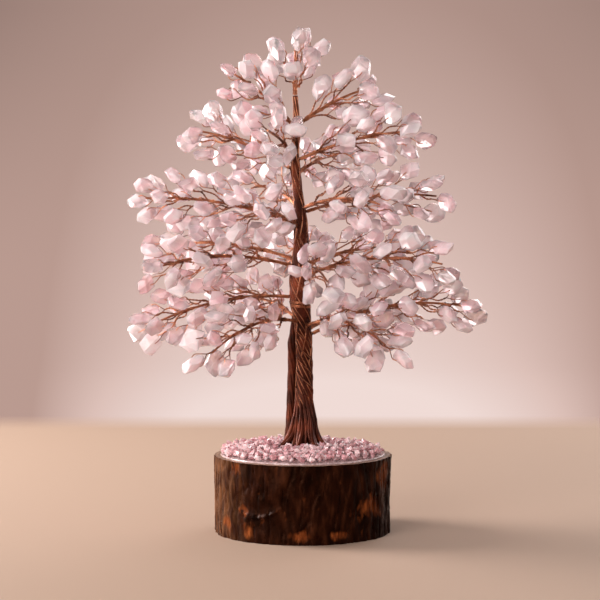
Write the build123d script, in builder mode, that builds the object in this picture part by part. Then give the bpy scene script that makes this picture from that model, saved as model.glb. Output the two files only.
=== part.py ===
"""Gemstone tree ornament: drilled pink stones on copper wire branches, set in a slice of log.

Millimetres, +Z up. The origin is the centre of the log slice's underside, and the tree's front
looks along -Y. Heights of the trunk and the branches are measured from the log's top face.
"""

import math
import os
from typing import NamedTuple

from build123d import *

# Log slice: a core of wood in its own bark
BASE_DIAMETER = 102.0
BASE_HEIGHT = 44.0
FOOT_DRAW_IN = 0.3
BARK_THICKNESS = 3.0
BARK_ROUNDING = 1.0
BARK_FIT = 0.05

# Blind hole in the log that takes the tail of the trunk
ANCHOR_HOLE_DIAMETER = 9.0
ANCHOR_HOLE_DEPTH = 28.0

# Bed of clear glue under the gravel, heaped at the trunk and run down into the hole
BARE_RIM = 4.5
BED_EDGE = 0.8
BED_CROWN = 3.5
BED_CROWN_DIAMETER = 40.0
GLUE_FIT = 0.05

# Gravel of small pink chips
CHIP_LENGTH = 4.5
CHIP_WIDTH = 3.9
CHIP_THICKNESS = 3.6
CHIP_PITCH = 4.75
CHIP_CORNERS = 9
CHIP_UNEVEN = 0.09
CHIP_SEAT = 0.05
GRAVEL_INNER_DIAMETER = 21.0
GRAVEL_SPLIT_DIAMETER = 64.0
GRAVEL_CLEARANCE = 0.3

# Straight wires in the middle of the trunk, which run down into the hole
CORE_DIAMETER = 4.0
CORE_TOP = 106.0
CORE_FIT = 0.05

# Twisted trunk: height over the log, sideways wander and radius
TRUNK_SECTIONS = [
    (18.0, 0.6, 5.3),
    (51.0, 1.0, 4.4),
    (68.0, 0.6, 4.3),
    (78.0, -0.2, 4.7),
    (89.0, -1.6, 5.6),
    (101.0, -1.8, 5.4),
    (108.0, -1.7, 4.7),
    (126.0, -0.6, 4.0),
    (147.0, -2.2, 2.8),
    (169.0, -4.4, 2.1),
    (191.0, -3.4, 1.6),
    (206.0, -4.2, 1.4),
]
TRUNK_FOOT_WANDER = 0.4
TRUNK_FOOT_RADIUS = 6.6

# Second stem that lies against the lower trunk
SIDE_STEM_DIAMETER = 5.4
SIDE_STEM_TIP_DIAMETER = 2.6
SIDE_STEM_TOP = 80.0
SIDE_STEM_TIP_LENGTH = 3.0
SIDE_STEM_AZIMUTH = 160.0
SIDE_STEM_GAP = 0.15

# Roots that spread from the trunk over the glue
ROOT_AZIMUTHS = [212.0, 256.0, 300.0, 344.0, 36.0, 92.0]
ROOT_RISE = 17.0
ROOT_SPREAD = 8.6
ROOT_TOP_DIAMETER = 2.6
ROOT_MIDDLE_DIAMETER = 4.6
ROOT_TOE_DIAMETER = 2.8
ROOT_GAP = 0.4
ROOT_CURL = 1.6
ROOT_FALL = 1.3
ROOT_RINGS = 6

# Wires wound down the lower trunk, each most of a turn between the two sides of the second stem
WRAP_DIAMETER = 1.1
WRAP_GAP = 0.3
WRAP_COUNT = 4
WRAP_TOP = 73.0
WRAP_STEP = 8.0
WRAP_DROP = 22.0
WRAP_START = 196.0
WRAP_TURN = 284.0
WRAP_SPANS = 4

# Wire bound round the trunk under the branches
BINDING_DIAMETER = 1.1
BINDING_GAP = 0.3
BINDING_HEIGHT = 82.6
BINDING_PITCH = 2.0
BINDING_START = 200.0
BINDING_SPANS = 6

# Branch wires: a tapering stem and the twigs that leave it at its forks
STEM_ROOT_DIAMETER = 2.8
STEM_TIP_DIAMETER = 1.4
STEM_CLEARANCE = 0.45
BEND_ROOM = 12.0
STEM_SHARE = 0.93
TWIG_DIAMETER = 1.2
TWIG_GAP = 0.3
TWIG_LAY = 4.0
TWIGS_PER_FORK = 5
FORK_LEAD = 15.0
NEAREST_FORK = 0.12
ARC_SHARE = 0.45

# Drilled stones
STONE_LENGTH = 16.0
STONE_WIDTH = 12.4
STONE_THICKNESS = 7.8
STONE_CORNERS = 13
STONE_SPREAD = 0.28
STONE_UNEVEN = 0.13
STONE_TILT = 42.0
HOLE_CLEARANCE = 0.15
HOLE_PAST_CENTRE = 1.6
TWIG_PAST_CENTRE = 1.2

# How the stones are spaced round and along a branch
FIRST_STONE = 0.34
FULLEST = 0.45
FULLNESS = 0.62
INNER_SPREAD = 0.55

# Even scatters: the golden angle, and shares that never fall into step
GOLDEN_ANGLE = 137.508
SIZE_SHARE = 0.618034
ROLL_SHARE = 0.754878
TILT_SHARE = 0.569840


class Branch(NamedTuple):
    """One branch: where it leaves the trunk, where it reaches, and its cloud of stones."""

    name: str
    root: float
    azimuth: float
    reach: float
    tip: float
    arch: float
    stones: int
    spread: float
    depth: float
    phase: float


# Name, root height, azimuth, reach, tip height, arch, stones, spread, depth, phase
BRANCHES = [
    Branch("low_right", 70, 0, 100, 84, 9, 22, 26, 15, 300),
    Branch("low_left", 91, 182, 96, 70, 7, 21, 25, 14, 316),
    Branch("low_front_left", 77, 233, 87, 60, 8, 19, 24, 14, 256),
    Branch("low_front_right", 75, 303, 87, 65, 8, 19, 24, 14, 0),
    Branch("low_back_right", 72, 54, 88, 66, 8, 19, 25, 14, 88),
    Branch("low_back_left", 78, 122, 88, 82, 8, 19, 25, 14, 300),
    Branch("middle_front_right", 104, 334, 92, 109, 7, 19, 24, 14, 280),
    Branch("middle_back_left", 113, 155, 99, 118, 6, 19, 24, 14, 328),
    Branch("middle_back", 107, 90, 84, 113, 6, 17, 24, 14, 288),
    Branch("middle_front_left", 109, 208, 100, 106, 7, 19, 24, 14, 68),
    Branch("middle_front", 104, 284, 58, 100, 6, 10, 17, 13, 132),
    Branch("middle_back_right", 110, 36, 88, 114, 6, 18, 24, 14, 288),
    Branch("upper_left", 134, 185, 96, 147, 5, 19, 24, 14, 236),
    Branch("upper_right", 140, 4, 83, 148, 5, 17, 24, 14, 164),
    Branch("upper_back", 144, 116, 76, 154, 5, 15, 23, 14, 280),
    Branch("upper_front_left", 132, 241, 68, 136, 5, 13, 21, 14, 172),
    Branch("upper_front_right", 142, 310, 70, 142, 5, 14, 21, 14, 316),
    Branch("high_left", 165, 174, 66, 187, 4, 15, 22, 14, 132),
    Branch("high_right", 170, 346, 70, 185, 4, 16, 22, 14, 52),
    Branch("high_back", 162, 64, 60, 173, 4, 12, 21, 14, 128),
    Branch("high_front", 171, 246, 50, 184, 3, 11, 19, 14, 120),
    Branch("crest_left", 190, 202, 44, 218, 3, 11, 19, 14, 224),
    Branch("crest_right", 191, 18, 47, 213, 3, 11, 19, 14, 80),
    Branch("top", 206, 180, 0, 241, 0, 10, 19, 19, 260),
]

UP = Vector(0, 0, 1)
BASE_RADIUS = BASE_DIAMETER / 2
WOOD_RADIUS = BASE_RADIUS - BARK_THICKNESS
BED_RADIUS = BASE_RADIUS - BARE_RIM
BED_CROWN_RADIUS = BED_CROWN_DIAMETER / 2
FOOT = BASE_HEIGHT + BED_CROWN
CORE_FOOT = BASE_HEIGHT - ANCHOR_HOLE_DEPTH + 2 * GLUE_FIT
TRUNK = [(BED_CROWN, TRUNK_FOOT_WANDER, TRUNK_FOOT_RADIUS)] + TRUNK_SECTIONS
TRUNK_TOP = TRUNK[-1][0]

os.makedirs("parts", exist_ok=True)


def save(shape, name):
    """Label a finished piece and write it."""
    shape.label = name
    export_step(shape, f"parts/{name}.step")


def save_group(solids, name):
    """Write separate solids together as one piece of the tree."""
    save(Compound(children=solids), name)


def vary(index, share):
    """An even scatter between 0 and 1."""
    return (index * share) % 1.0


def around(azimuth, distance=1.0):
    """A level vector at an azimuth."""
    angle = math.radians(azimuth)
    return Vector(distance * math.cos(angle), distance * math.sin(angle), 0)


def trunk_at(height):
    """The trunk's centre and radius at a height over the log's top face."""
    height = min(max(height, TRUNK[0][0]), TRUNK_TOP)
    for low, high in zip(TRUNK, TRUNK[1:]):
        if height <= high[0]:
            share = (height - low[0]) / (high[0] - low[0])
            wander = low[1] + (high[1] - low[1]) * share
            radius = low[2] + (high[2] - low[2]) * share
            return Vector(wander, 0, BASE_HEIGHT + height), radius


def bed_height(radius):
    """How high the glue bed stands over the log at a distance from its centre."""
    share = (radius - BED_CROWN_RADIUS) / (BED_RADIUS - BED_CROWN_RADIUS)
    return BED_CROWN + (BED_EDGE - BED_CROWN) * min(max(share, 0), 1)


def pebble(index, centre, direction, size, corners, uneven, tilt):
    """The corners of an uneven pebble whose long axis lies near a direction."""
    side = direction.cross(UP)
    if side.length < 0.01:
        side = Vector(1, 0, 0)
    turned = side.rotate(Axis((0, 0, 0), direction), 360 * vary(index, ROLL_SHARE))
    frame = Plane(origin=centre, x_dir=turned, z_dir=direction)
    lean = math.radians(tilt * (2 * vary(index, TILT_SHARE) - 1))
    points = []
    for corner in range(corners):
        level = 1 - 2 * (corner + 0.5) / corners
        ring = math.sqrt(1 - level * level)
        angle = math.radians(GOLDEN_ANGLE * corner)
        bulge = 1 + uneven * (2 * vary(index * corners + corner, SIZE_SHARE) - 1)
        along = size[0] / 2 * level * bulge
        across = size[1] / 2 * ring * math.cos(angle) * bulge
        through = size[2] / 2 * ring * math.sin(angle) * bulge
        leaned = Vector(
            across * math.cos(lean) + along * math.sin(lean),
            through,
            along * math.cos(lean) - across * math.sin(lean),
        )
        points.append(frame.from_local_coords(leaned))
    return points


def tapered(path, start_radius, end_radius):
    """A round wire that tapers along a path."""
    with BuildPart() as wire:
        with BuildSketch(Plane(path @ 0, z_dir=path % 0)):
            Circle(start_radius)
        with BuildSketch(Plane(path @ 1, z_dir=path % 1)):
            Circle(end_radius)
        sweep(path=path, multisection=True)
    return wire.part


def round_wire(path, diameter):
    """A round wire of one thickness along a path."""
    with BuildPart() as wire:
        with BuildSketch(Plane(path @ 0, z_dir=path % 0)):
            Circle(diameter / 2)
        sweep(path=path)
    return wire.part


def biarc(start, start_way, end, end_way):
    """The point and direction where two tangent arcs meet between two ends."""
    chord = end - start
    ways = start_way + end_way
    square = ways.dot(ways) - 4
    linear = -2 * chord.dot(ways)
    root = math.sqrt(linear * linear - 4 * square * chord.dot(chord))
    reach = max((-linear - root) / (2 * square), (-linear + root) / (2 * square))
    first = start + start_way * reach
    last = end - end_way * reach
    return (first + last) * 0.5, (last - first).normalized()


def wound_path(place, spans):
    """Tangent arcs, two to a span, along a winding given as a function of a share."""
    step = 0.001
    with BuildLine() as line:
        for span in range(spans):
            ends = []
            for share in (span / spans, (span + 1) / spans):
                way = (place(share + step) - place(share - step)).normalized()
                ends.append((place(share), way))
            (start, start_way), (end, end_way) = ends
            joint, joint_way = biarc(start, start_way, end, end_way)
            TangentArc(start, joint, tangent=start_way)
            TangentArc(joint, end, tangent=joint_way)
    return line.wires()[0]


def least_gap(path, diameter, samples=240):
    """The least gap of a wound wire to itself, measured between points a turn or so apart."""
    points = [path @ (k / samples) for k in range(samples + 1)]
    apart = int(4 * diameter / path.length * samples) + 1
    gaps = [
        (points[i] - points[j]).length - diameter
        for i in range(len(points))
        for j in range(i + apart, len(points))
    ]
    return min(gaps)


# Wood of the log slice, with the blind hole for the trunk's tail
with BuildPart() as base_wood:
    with BuildSketch():
        Circle(WOOD_RADIUS - BARK_FIT)
    extrude(amount=BASE_HEIGHT)
    with Locations((0, 0, BASE_HEIGHT)):
        Hole(ANCHOR_HOLE_DIAMETER / 2, depth=ANCHOR_HOLE_DEPTH)
save(base_wood.part, "base_wood")

# Bark round it, drawn in at the foot
with BuildPart() as base_bark:
    with BuildSketch(Plane.XZ):
        with BuildLine():
            Polyline(
                (WOOD_RADIUS, 0),
                (BASE_RADIUS - FOOT_DRAW_IN, 0),
                (BASE_RADIUS, BASE_HEIGHT),
                (WOOD_RADIUS, BASE_HEIGHT),
                close=True,
            )
        make_face()
    revolve(axis=Axis.Z)
    rims = base_bark.edges().filter_by(GeomType.CIRCLE)
    outer = [rim for rim in rims if rim.radius > WOOD_RADIUS + BARK_THICKNESS / 4]
    fillet(outer, min(BARK_ROUNDING, BARK_THICKNESS / 3))
save(base_bark.part, "base_bark")

# Glue bed, with the plug that fills the hole round the core wires
plug_radius = ANCHOR_HOLE_DIAMETER / 2 - GLUE_FIT
core_bore = CORE_DIAMETER / 2 + CORE_FIT
plug_foot = BASE_HEIGHT - ANCHOR_HOLE_DEPTH + GLUE_FIT
with BuildPart() as glue_bed:
    with BuildSketch(Plane.XZ):
        with BuildLine():
            Polyline(
                (core_bore, plug_foot),
                (plug_radius, plug_foot),
                (plug_radius, BASE_HEIGHT),
                (BED_RADIUS, BASE_HEIGHT),
                (BED_RADIUS, BASE_HEIGHT + BED_EDGE),
                (BED_CROWN_RADIUS, FOOT),
                (core_bore, FOOT),
                close=True,
            )
        make_face()
    revolve(axis=Axis.Z)
save(glue_bed.part, "glue_bed")

# Core wires from the bottom of the hole up into the trunk
with BuildPart() as core_wires:
    with BuildSketch(Plane.XY.offset(CORE_FOOT)):
        Circle(CORE_DIAMETER / 2)
    extrude(amount=BASE_HEIGHT + CORE_TOP - CORE_FOOT)
save(core_wires.part, "core_wires")

# Trunk, a wandering bundle that thins upwards, bored for its core
with BuildPart() as trunk_bundle:
    for section_height, wander, section_radius in TRUNK:
        with BuildSketch(Plane.XY.offset(BASE_HEIGHT + section_height)):
            with Locations((wander, 0)):
                Circle(section_radius)
    loft(ruled=True)
    with BuildSketch(Plane.XY.offset(FOOT)):
        Circle(core_bore)
    extrude(amount=CORE_TOP - BED_CROWN + CORE_FIT, mode=Mode.SUBTRACT)
save(trunk_bundle.part, "trunk_bundle")


def side_stem_centre(height):
    """The second stem's centre, held against the trunk at any height."""
    centre, radius = trunk_at(height)
    return centre + around(SIDE_STEM_AZIMUTH, radius + SIDE_STEM_DIAMETER / 2 + SIDE_STEM_GAP)


# Second stem against the trunk's left side, from the glue up to a blunt tip
lower_heights = [level for level, _, _ in TRUNK if level < SIDE_STEM_TOP - SIDE_STEM_TIP_LENGTH]
side_levels = [(level, SIDE_STEM_DIAMETER / 2) for level in lower_heights]
side_levels.append((SIDE_STEM_TOP - SIDE_STEM_TIP_LENGTH, SIDE_STEM_DIAMETER / 2))
side_levels.append((SIDE_STEM_TOP, SIDE_STEM_TIP_DIAMETER / 2))
with BuildPart() as trunk_side_stem:
    for level, side_radius in side_levels:
        centre = side_stem_centre(level)
        with BuildSketch(Plane(centre)):
            Circle(side_radius)
    loft(ruled=True)
save(trunk_side_stem.part, "trunk_side_stem")


def root_ring(azimuth, share):
    """A root's centre, direction and radius at a share of its length, from the trunk to its toe."""
    top, top_radius = trunk_at(BED_CROWN + ROOT_RISE)
    start = top_radius + ROOT_TOP_DIAMETER / 2 + ROOT_GAP
    toe_height = ROOT_TOE_DIAMETER / 2 + CHIP_SEAT

    def place(at):
        out = start + ROOT_SPREAD * at**ROOT_CURL
        height = toe_height + (ROOT_RISE - toe_height) * (1 - at) ** ROOT_FALL
        return Vector(top.X, 0, FOOT + height) + around(azimuth, out)

    swell = ROOT_MIDDLE_DIAMETER - (ROOT_TOP_DIAMETER + ROOT_TOE_DIAMETER) / 2
    taper = ROOT_TOP_DIAMETER + (ROOT_TOE_DIAMETER - ROOT_TOP_DIAMETER) * share
    diameter = taper + swell * 4 * share * (1 - share)
    step = 0.001
    way = (place(min(share + step, 1)) - place(max(share - step, 0))).normalized()
    return place(share), way, diameter / 2


# Roots round the trunk's foot
roots = []
for azimuth in ROOT_AZIMUTHS:
    with BuildPart() as root:
        for ring in range(ROOT_RINGS):
            centre, way, ring_radius = root_ring(azimuth, ring / (ROOT_RINGS - 1))
            with BuildSketch(Plane(centre, z_dir=way)):
                Circle(ring_radius)
        loft(ruled=True)
    roots.append(root.part)
save_group(roots, "root_toes")


def wrap_point(wire, share):
    """A point of a wire wound down the lower trunk."""
    height = WRAP_TOP - WRAP_STEP * wire - WRAP_DROP * share
    centre, radius = trunk_at(height)
    out = radius + WRAP_GAP + WRAP_DIAMETER / 2
    return centre + around(WRAP_START + WRAP_TURN * share, out)


def binding_point(share):
    """A point of the wire bound round the trunk under the branches."""
    turn = 90 * BINDING_SPANS * share
    centre, radius = trunk_at(BINDING_HEIGHT + BINDING_PITCH * turn / 360)
    out = radius + BINDING_GAP + BINDING_DIAMETER / 2
    return centre + around(BINDING_START + turn, out)


# Wound wires
wraps = []
for wire in range(WRAP_COUNT):
    wrap_path = wound_path(lambda share, wire=wire: wrap_point(wire, share), WRAP_SPANS)
    wraps.append(round_wire(wrap_path, WRAP_DIAMETER))
save_group(wraps, "wrap_wires")

binding_path = wound_path(binding_point, BINDING_SPANS)
save(round_wire(binding_path, BINDING_DIAMETER), "binding_wire")
print(f"binding wire's least gap to itself {least_gap(binding_path, BINDING_DIAMETER):.2f}")


def gravel_blocked(place, reach):
    """Whether a chip at this place would meet the roots or the second stem."""
    side = side_stem_centre(BED_CROWN)
    if math.hypot(place.X - side.X, place.Y - side.Y) < reach + SIDE_STEM_DIAMETER / 2:
        return True
    for azimuth in ROOT_AZIMUTHS:
        way = around(azimuth)
        toe, _, _ = root_ring(azimuth, 1)
        past = min(max((place - toe).dot(way), -2 * ROOT_SPREAD), 0)
        nearest = toe + way * past
        width = ROOT_MIDDLE_DIAMETER / 2
        if math.hypot(place.X - nearest.X, place.Y - nearest.Y) < reach + width:
            return True
    return False


# Gravel, each chip seated on the glue
chip_size = (CHIP_LENGTH, CHIP_WIDTH, CHIP_THICKNESS)
inner_square = (GRAVEL_INNER_DIAMETER / 2) ** 2
outer_square = (BED_RADIUS - CHIP_LENGTH / 2) ** 2
chip_count = int(math.pi * (outer_square - inner_square) / CHIP_PITCH**2)
inner_gravel = []
outer_gravel = []
for index in range(chip_count):
    chip_radius = math.sqrt(inner_square + (outer_square - inner_square) * (index + 0.5) / chip_count)
    place = around(GOLDEN_ANGLE * index, chip_radius)
    if gravel_blocked(place, CHIP_LENGTH / 2 + GRAVEL_CLEARANCE):
        continue
    shrink = 0.86 + 0.14 * vary(index, SIZE_SHARE)
    size = [length * shrink for length in chip_size]
    lying = around(360 * vary(index, ROLL_SHARE))
    corners = pebble(index, place, lying, size, CHIP_CORNERS, CHIP_UNEVEN, STONE_TILT)
    sunk = min(corner.Z - bed_height(math.hypot(corner.X, corner.Y)) for corner in corners)
    lift = UP * (BASE_HEIGHT + CHIP_SEAT - sunk)
    with BuildPart() as chip:
        ConvexPolyhedron([corner + lift for corner in corners])
    group = inner_gravel if chip_radius < GRAVEL_SPLIT_DIAMETER / 2 else outer_gravel
    group.append(chip.part)
save_group(inner_gravel, "gravel_inner")
save_group(outer_gravel, "gravel_outer")


def branch_ends(branch):
    """The root and tip of a branch's stem, with room at the root for the branch to be bent."""
    centre, radius = trunk_at(branch.root)
    if branch.root >= TRUNK_TOP:
        lean = STEM_ROOT_DIAMETER / 2 * math.sin(math.radians(BEND_ROOM))
        root = centre + UP * (STEM_CLEARANCE + lean)
        return root, Vector(centre.X, 0, BASE_HEIGHT + branch.tip)
    tip = around(branch.azimuth, branch.reach) + UP * (BASE_HEIGHT + branch.tip)
    way = tip - centre - around(branch.azimuth, radius) + UP * 4 * branch.arch
    steepest = abs(math.asin(way.Z / way.length)) + math.radians(BEND_ROOM)
    lean = STEM_ROOT_DIAMETER / 2 * math.sin(steepest)
    return centre + around(branch.azimuth, radius + STEM_CLEARANCE + lean), tip


def stem_point(branch, share):
    """A point of a branch's arched stem."""
    root, tip = branch_ends(branch)
    return root + (tip - root) * share + UP * branch.arch * 4 * share * (1 - share)


def stem_frame(branch):
    """The directions across a branch, level and upright."""
    root, tip = branch_ends(branch)
    upright = branch.root >= TRUNK_TOP
    lateral = Vector(1, 0, 0) if upright else UP.cross(around(branch.azimuth))
    lift = (tip - root).normalized().cross(lateral)
    return lateral, lift if lift.Z > 0 or upright else lift * -1


def stone_share(branch, number):
    """How far out along the stem a stone hangs."""
    return FIRST_STONE + (1 - FIRST_STONE) * (number + 0.5) / branch.stones


def stone_centre(branch, number):
    """The middle of a stone, on a spiral round its branch."""
    share = (number + 0.5) / branch.stones
    full = math.sqrt(1 - ((share - FULLEST) / FULLNESS) ** 2)
    angle = math.radians(number * GOLDEN_ANGLE + branch.phase)
    lateral, lift = stem_frame(branch)
    level = branch.spread * full * (INNER_SPREAD + (1 - INNER_SPREAD) * share) * math.cos(angle)
    upward = branch.depth * full * math.sin(angle)
    return stem_point(branch, stone_share(branch, number)) + lateral * level + lift * upward


def twig_route(branch, number):
    """A twig's start beside the stem, the point where it leaves it, and its stone's middle."""
    root, tip = branch_ends(branch)
    first = number - number % TWIGS_PER_FORK
    fork = max(stone_share(branch, first) - FORK_LEAD / (tip - root).length, NEAREST_FORK)
    thinned = STEM_ROOT_DIAMETER + (STEM_TIP_DIAMETER - STEM_ROOT_DIAMETER) * fork / STEM_SHARE
    angle = math.radians(number * GOLDEN_ANGLE + branch.phase)
    lateral, lift = stem_frame(branch)
    beside = lateral * math.cos(angle) + lift * math.sin(angle)
    leave = stem_point(branch, fork) + beside * (thinned / 2 + TWIG_DIAMETER / 2 + TWIG_GAP)
    step = 0.01
    way = (stem_point(branch, fork + step) - stem_point(branch, fork - step)).normalized()
    return leave - way * TWIG_LAY, leave, stone_centre(branch, number)


def twig(start, leave, centre):
    """A twig that lies along its stem, bends away and ends inside its stone."""
    direction = (centre - leave).normalized()
    end = centre + direction * TWIG_PAST_CENTRE
    half_turn = math.radians((leave - start).get_angle(direction)) / 2
    bend = ARC_SHARE * min(TWIG_LAY, (end - leave).length) / math.tan(half_turn)
    with BuildLine():
        path = FilletPolyline(start, leave, end, radius=bend)
    return round_wire(path, TWIG_DIAMETER)


def drilled_stone(index, leave, centre):
    """A tumbled stone with the blind hole that its twig is glued into."""
    direction = (centre - leave).normalized()
    grow = 1 + STONE_SPREAD * (vary(index, SIZE_SHARE) - 0.5)
    size = [STONE_LENGTH * grow, STONE_WIDTH * grow, STONE_THICKNESS * grow]
    with BuildPart() as stone:
        ConvexPolyhedron(
            pebble(index, centre, direction, size, STONE_CORNERS, STONE_UNEVEN, STONE_TILT)
        )
        with BuildSketch(Plane(centre + direction * HOLE_PAST_CENTRE, z_dir=direction * -1)):
            Circle(TWIG_DIAMETER / 2 + HOLE_CLEARANCE)
        extrude(amount=HOLE_PAST_CENTRE + STONE_LENGTH, mode=Mode.SUBTRACT)
    return stone.part


# Branches, each with its wires and its stones
stone_index = 0
for branch in BRANCHES:
    with BuildLine():
        stem_path = ThreePointArc(
            stem_point(branch, 0),
            stem_point(branch, STEM_SHARE / 2),
            stem_point(branch, STEM_SHARE),
        ) if branch.arch else Line(stem_point(branch, 0), stem_point(branch, STEM_SHARE))
    wires = [tapered(stem_path, STEM_ROOT_DIAMETER / 2, STEM_TIP_DIAMETER / 2)]
    stones = []
    for number in range(branch.stones):
        start, leave, centre = twig_route(branch, number)
        wires.append(twig(start, leave, centre))
        stones.append(drilled_stone(stone_index, leave, centre))
        stone_index += 1
    save_group(wires, f"{branch.name}_wires")
    save_group(stones, f"{branch.name}_stones")
    hinge, _ = branch_ends(branch)
    axis = Vector(0, 1, 0) if branch.root >= TRUNK_TOP else around(branch.azimuth).cross(UP)
    print(f"hinge {branch.name} {hinge.X:.4f} {hinge.Y:.4f} {hinge.Z:.4f} {axis.X:.6f} {axis.Y:.6f}")

print(f"{stone_index} stones, {len(inner_gravel) + len(outer_gravel)} chips of gravel")
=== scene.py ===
"""Gemstone tree ornament: pink stones on twisted copper, a wound trunk and a varnished log slice.

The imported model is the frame. Each branch's wires and stones, the trunk, the roots, the bark and
the gravel are modelled here in its place, and every piece rides on the body of what it replaces.
"""

from __future__ import annotations

import logging
import math
from dataclasses import dataclass, field
from enum import Enum
from typing import Iterable, Mapping, Sequence

import bmesh
import bpy
import numpy
from mathutils import Matrix, Vector, noise

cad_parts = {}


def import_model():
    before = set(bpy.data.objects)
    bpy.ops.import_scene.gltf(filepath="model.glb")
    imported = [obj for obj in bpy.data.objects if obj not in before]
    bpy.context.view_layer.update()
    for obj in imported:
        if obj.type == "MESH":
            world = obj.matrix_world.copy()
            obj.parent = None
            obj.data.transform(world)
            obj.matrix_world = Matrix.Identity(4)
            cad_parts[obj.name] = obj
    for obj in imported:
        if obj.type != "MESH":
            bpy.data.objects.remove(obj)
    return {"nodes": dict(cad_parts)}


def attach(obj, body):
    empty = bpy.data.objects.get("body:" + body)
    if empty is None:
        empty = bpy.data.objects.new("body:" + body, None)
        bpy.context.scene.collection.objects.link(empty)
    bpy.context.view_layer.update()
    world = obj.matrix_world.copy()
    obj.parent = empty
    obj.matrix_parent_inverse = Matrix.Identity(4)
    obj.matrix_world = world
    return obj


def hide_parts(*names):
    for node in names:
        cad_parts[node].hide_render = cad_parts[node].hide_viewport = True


LOG = logging.getLogger("gem_tree")

MM = 0.001
TURN = 2 * math.pi
UP = Vector((0.0, 0.0, 1.0))
ASIDE = Vector((1.0, 0.0, 0.0))
LOG_HEIGHT = 44.0
ROOT_BODY = "base"

# Scatter
GOLDEN_ANGLE = 137.508
SIZE_SHARE = 0.618034
ROLL_SHARE = 0.754878
TILT_SHARE = 0.569840
GRAVEL_STEP = 120

# How steeply a hump starts, and the part of a noise's range that its patches fill
HUMP_SLOPE = 4
PATCHES = (0.3, 0.7)

Colour = tuple[float, float, float]
Stops = Sequence[tuple[float, Colour]]
Frame = tuple[Vector, Vector]
Socket = bpy.types.NodeSocket
Material = bpy.types.Material
Mesh = bpy.types.Mesh
Piece = bpy.types.Object


class Slot(Enum):
    """The record's material slots."""

    QUARTZ = "rose_quartz"
    COPPER = "copper_wire"
    TRUNK = "dark_trunk"
    BARK = "bark"
    WOOD = "end_grain"
    GLUE = "clear_glue"
    GRAVEL = "pink_gravel"


class Strand(Enum):
    """Which finish a strand of a bundle has."""

    DARK = 0
    COPPER = 1


def vary(index: int, share: float) -> float:
    """Return an even scatter between 0 and 1."""
    return (index * share) % 1.0


def between(start: float, end: float, share: float) -> float:
    """Return the value at a share of the way from a start to an end."""
    return start + (end - start) * share


def hump(share: float) -> float:
    """Return a hump that is 1 half way and 0 at both ends."""
    return HUMP_SLOPE * share * (1 - share)


def around(azimuth: float, distance: float = 1.0) -> Vector:
    """Return a level vector at an azimuth in degrees."""
    angle = math.radians(azimuth)
    return Vector((distance * math.cos(angle), distance * math.sin(angle), 0.0))


def across(way: Vector, upright: float = 0.05) -> Frame:
    """Find two directions square to a way and to each other.

    Args:
        way: The way, of length 1.
        upright: How near to upright a way is taken as upright.

    Returns:
        A level direction, and the one square to it and to the way.
    """
    side = way.cross(UP)
    if side.length < upright:
        side = ASIDE.copy()
    side.normalize()
    return side, way.cross(side).normalized()


def off_line(frame: Frame, angle: float, distance: float = 1.0) -> Vector:
    """Return a step off a line, at an angle in radians between its two square directions."""
    side, other = frame
    return side * distance * math.cos(angle) + other * distance * math.sin(angle)


def smooth_line(points: Sequence[Vector], steps: int) -> list[Vector]:
    """Draw a smooth line through points.

    Args:
        points: The points that the line passes.
        steps: How many short runs each stretch is drawn with.

    Returns:
        The line's own points, the given ones among them.
    """
    ends = [points[0] * 2 - points[1], *points, points[-1] * 2 - points[-2]]
    line = []
    for before, start, end, after in zip(ends, ends[1:], ends[2:], ends[3:]):
        for step in range(steps):
            t = step / steps
            bend = (before * 2 - start * 5 + end * 4 - after) * t * t
            twist = (start * 3 - before - end * 3 + after) * t * t * t
            line.append((start * 2 + (end - before) * t + bend + twist) * 0.5)
    line.append(points[-1].copy())
    return line


def line_frames(line: Sequence[Vector]) -> list[Frame]:
    """Find two directions square to a line at each of its points, carried along without a twist.

    Args:
        line: The line's points.

    Returns:
        The two directions at each point.
    """
    side, _ = across((line[1] - line[0]).normalized())
    frames = []
    for index in range(len(line)):
        low = max(index - 1, 0)
        high = min(index + 1, len(line) - 1)
        way = (line[high] - line[low]).normalized()
        side = (side - way * side.dot(way)).normalized()
        frames.append((side, way.cross(side)))
    return frames


def distances(line: Sequence[Vector]) -> list[float]:
    """Measure how far along a line each of its points is.

    Args:
        line: The line's points.

    Returns:
        The distance travelled at each point, from 0.
    """
    travelled = 0.0
    found = []
    for index, point in enumerate(line):
        travelled += (point - line[max(index - 1, 0)]).length
        found.append(travelled)
    return found


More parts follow.
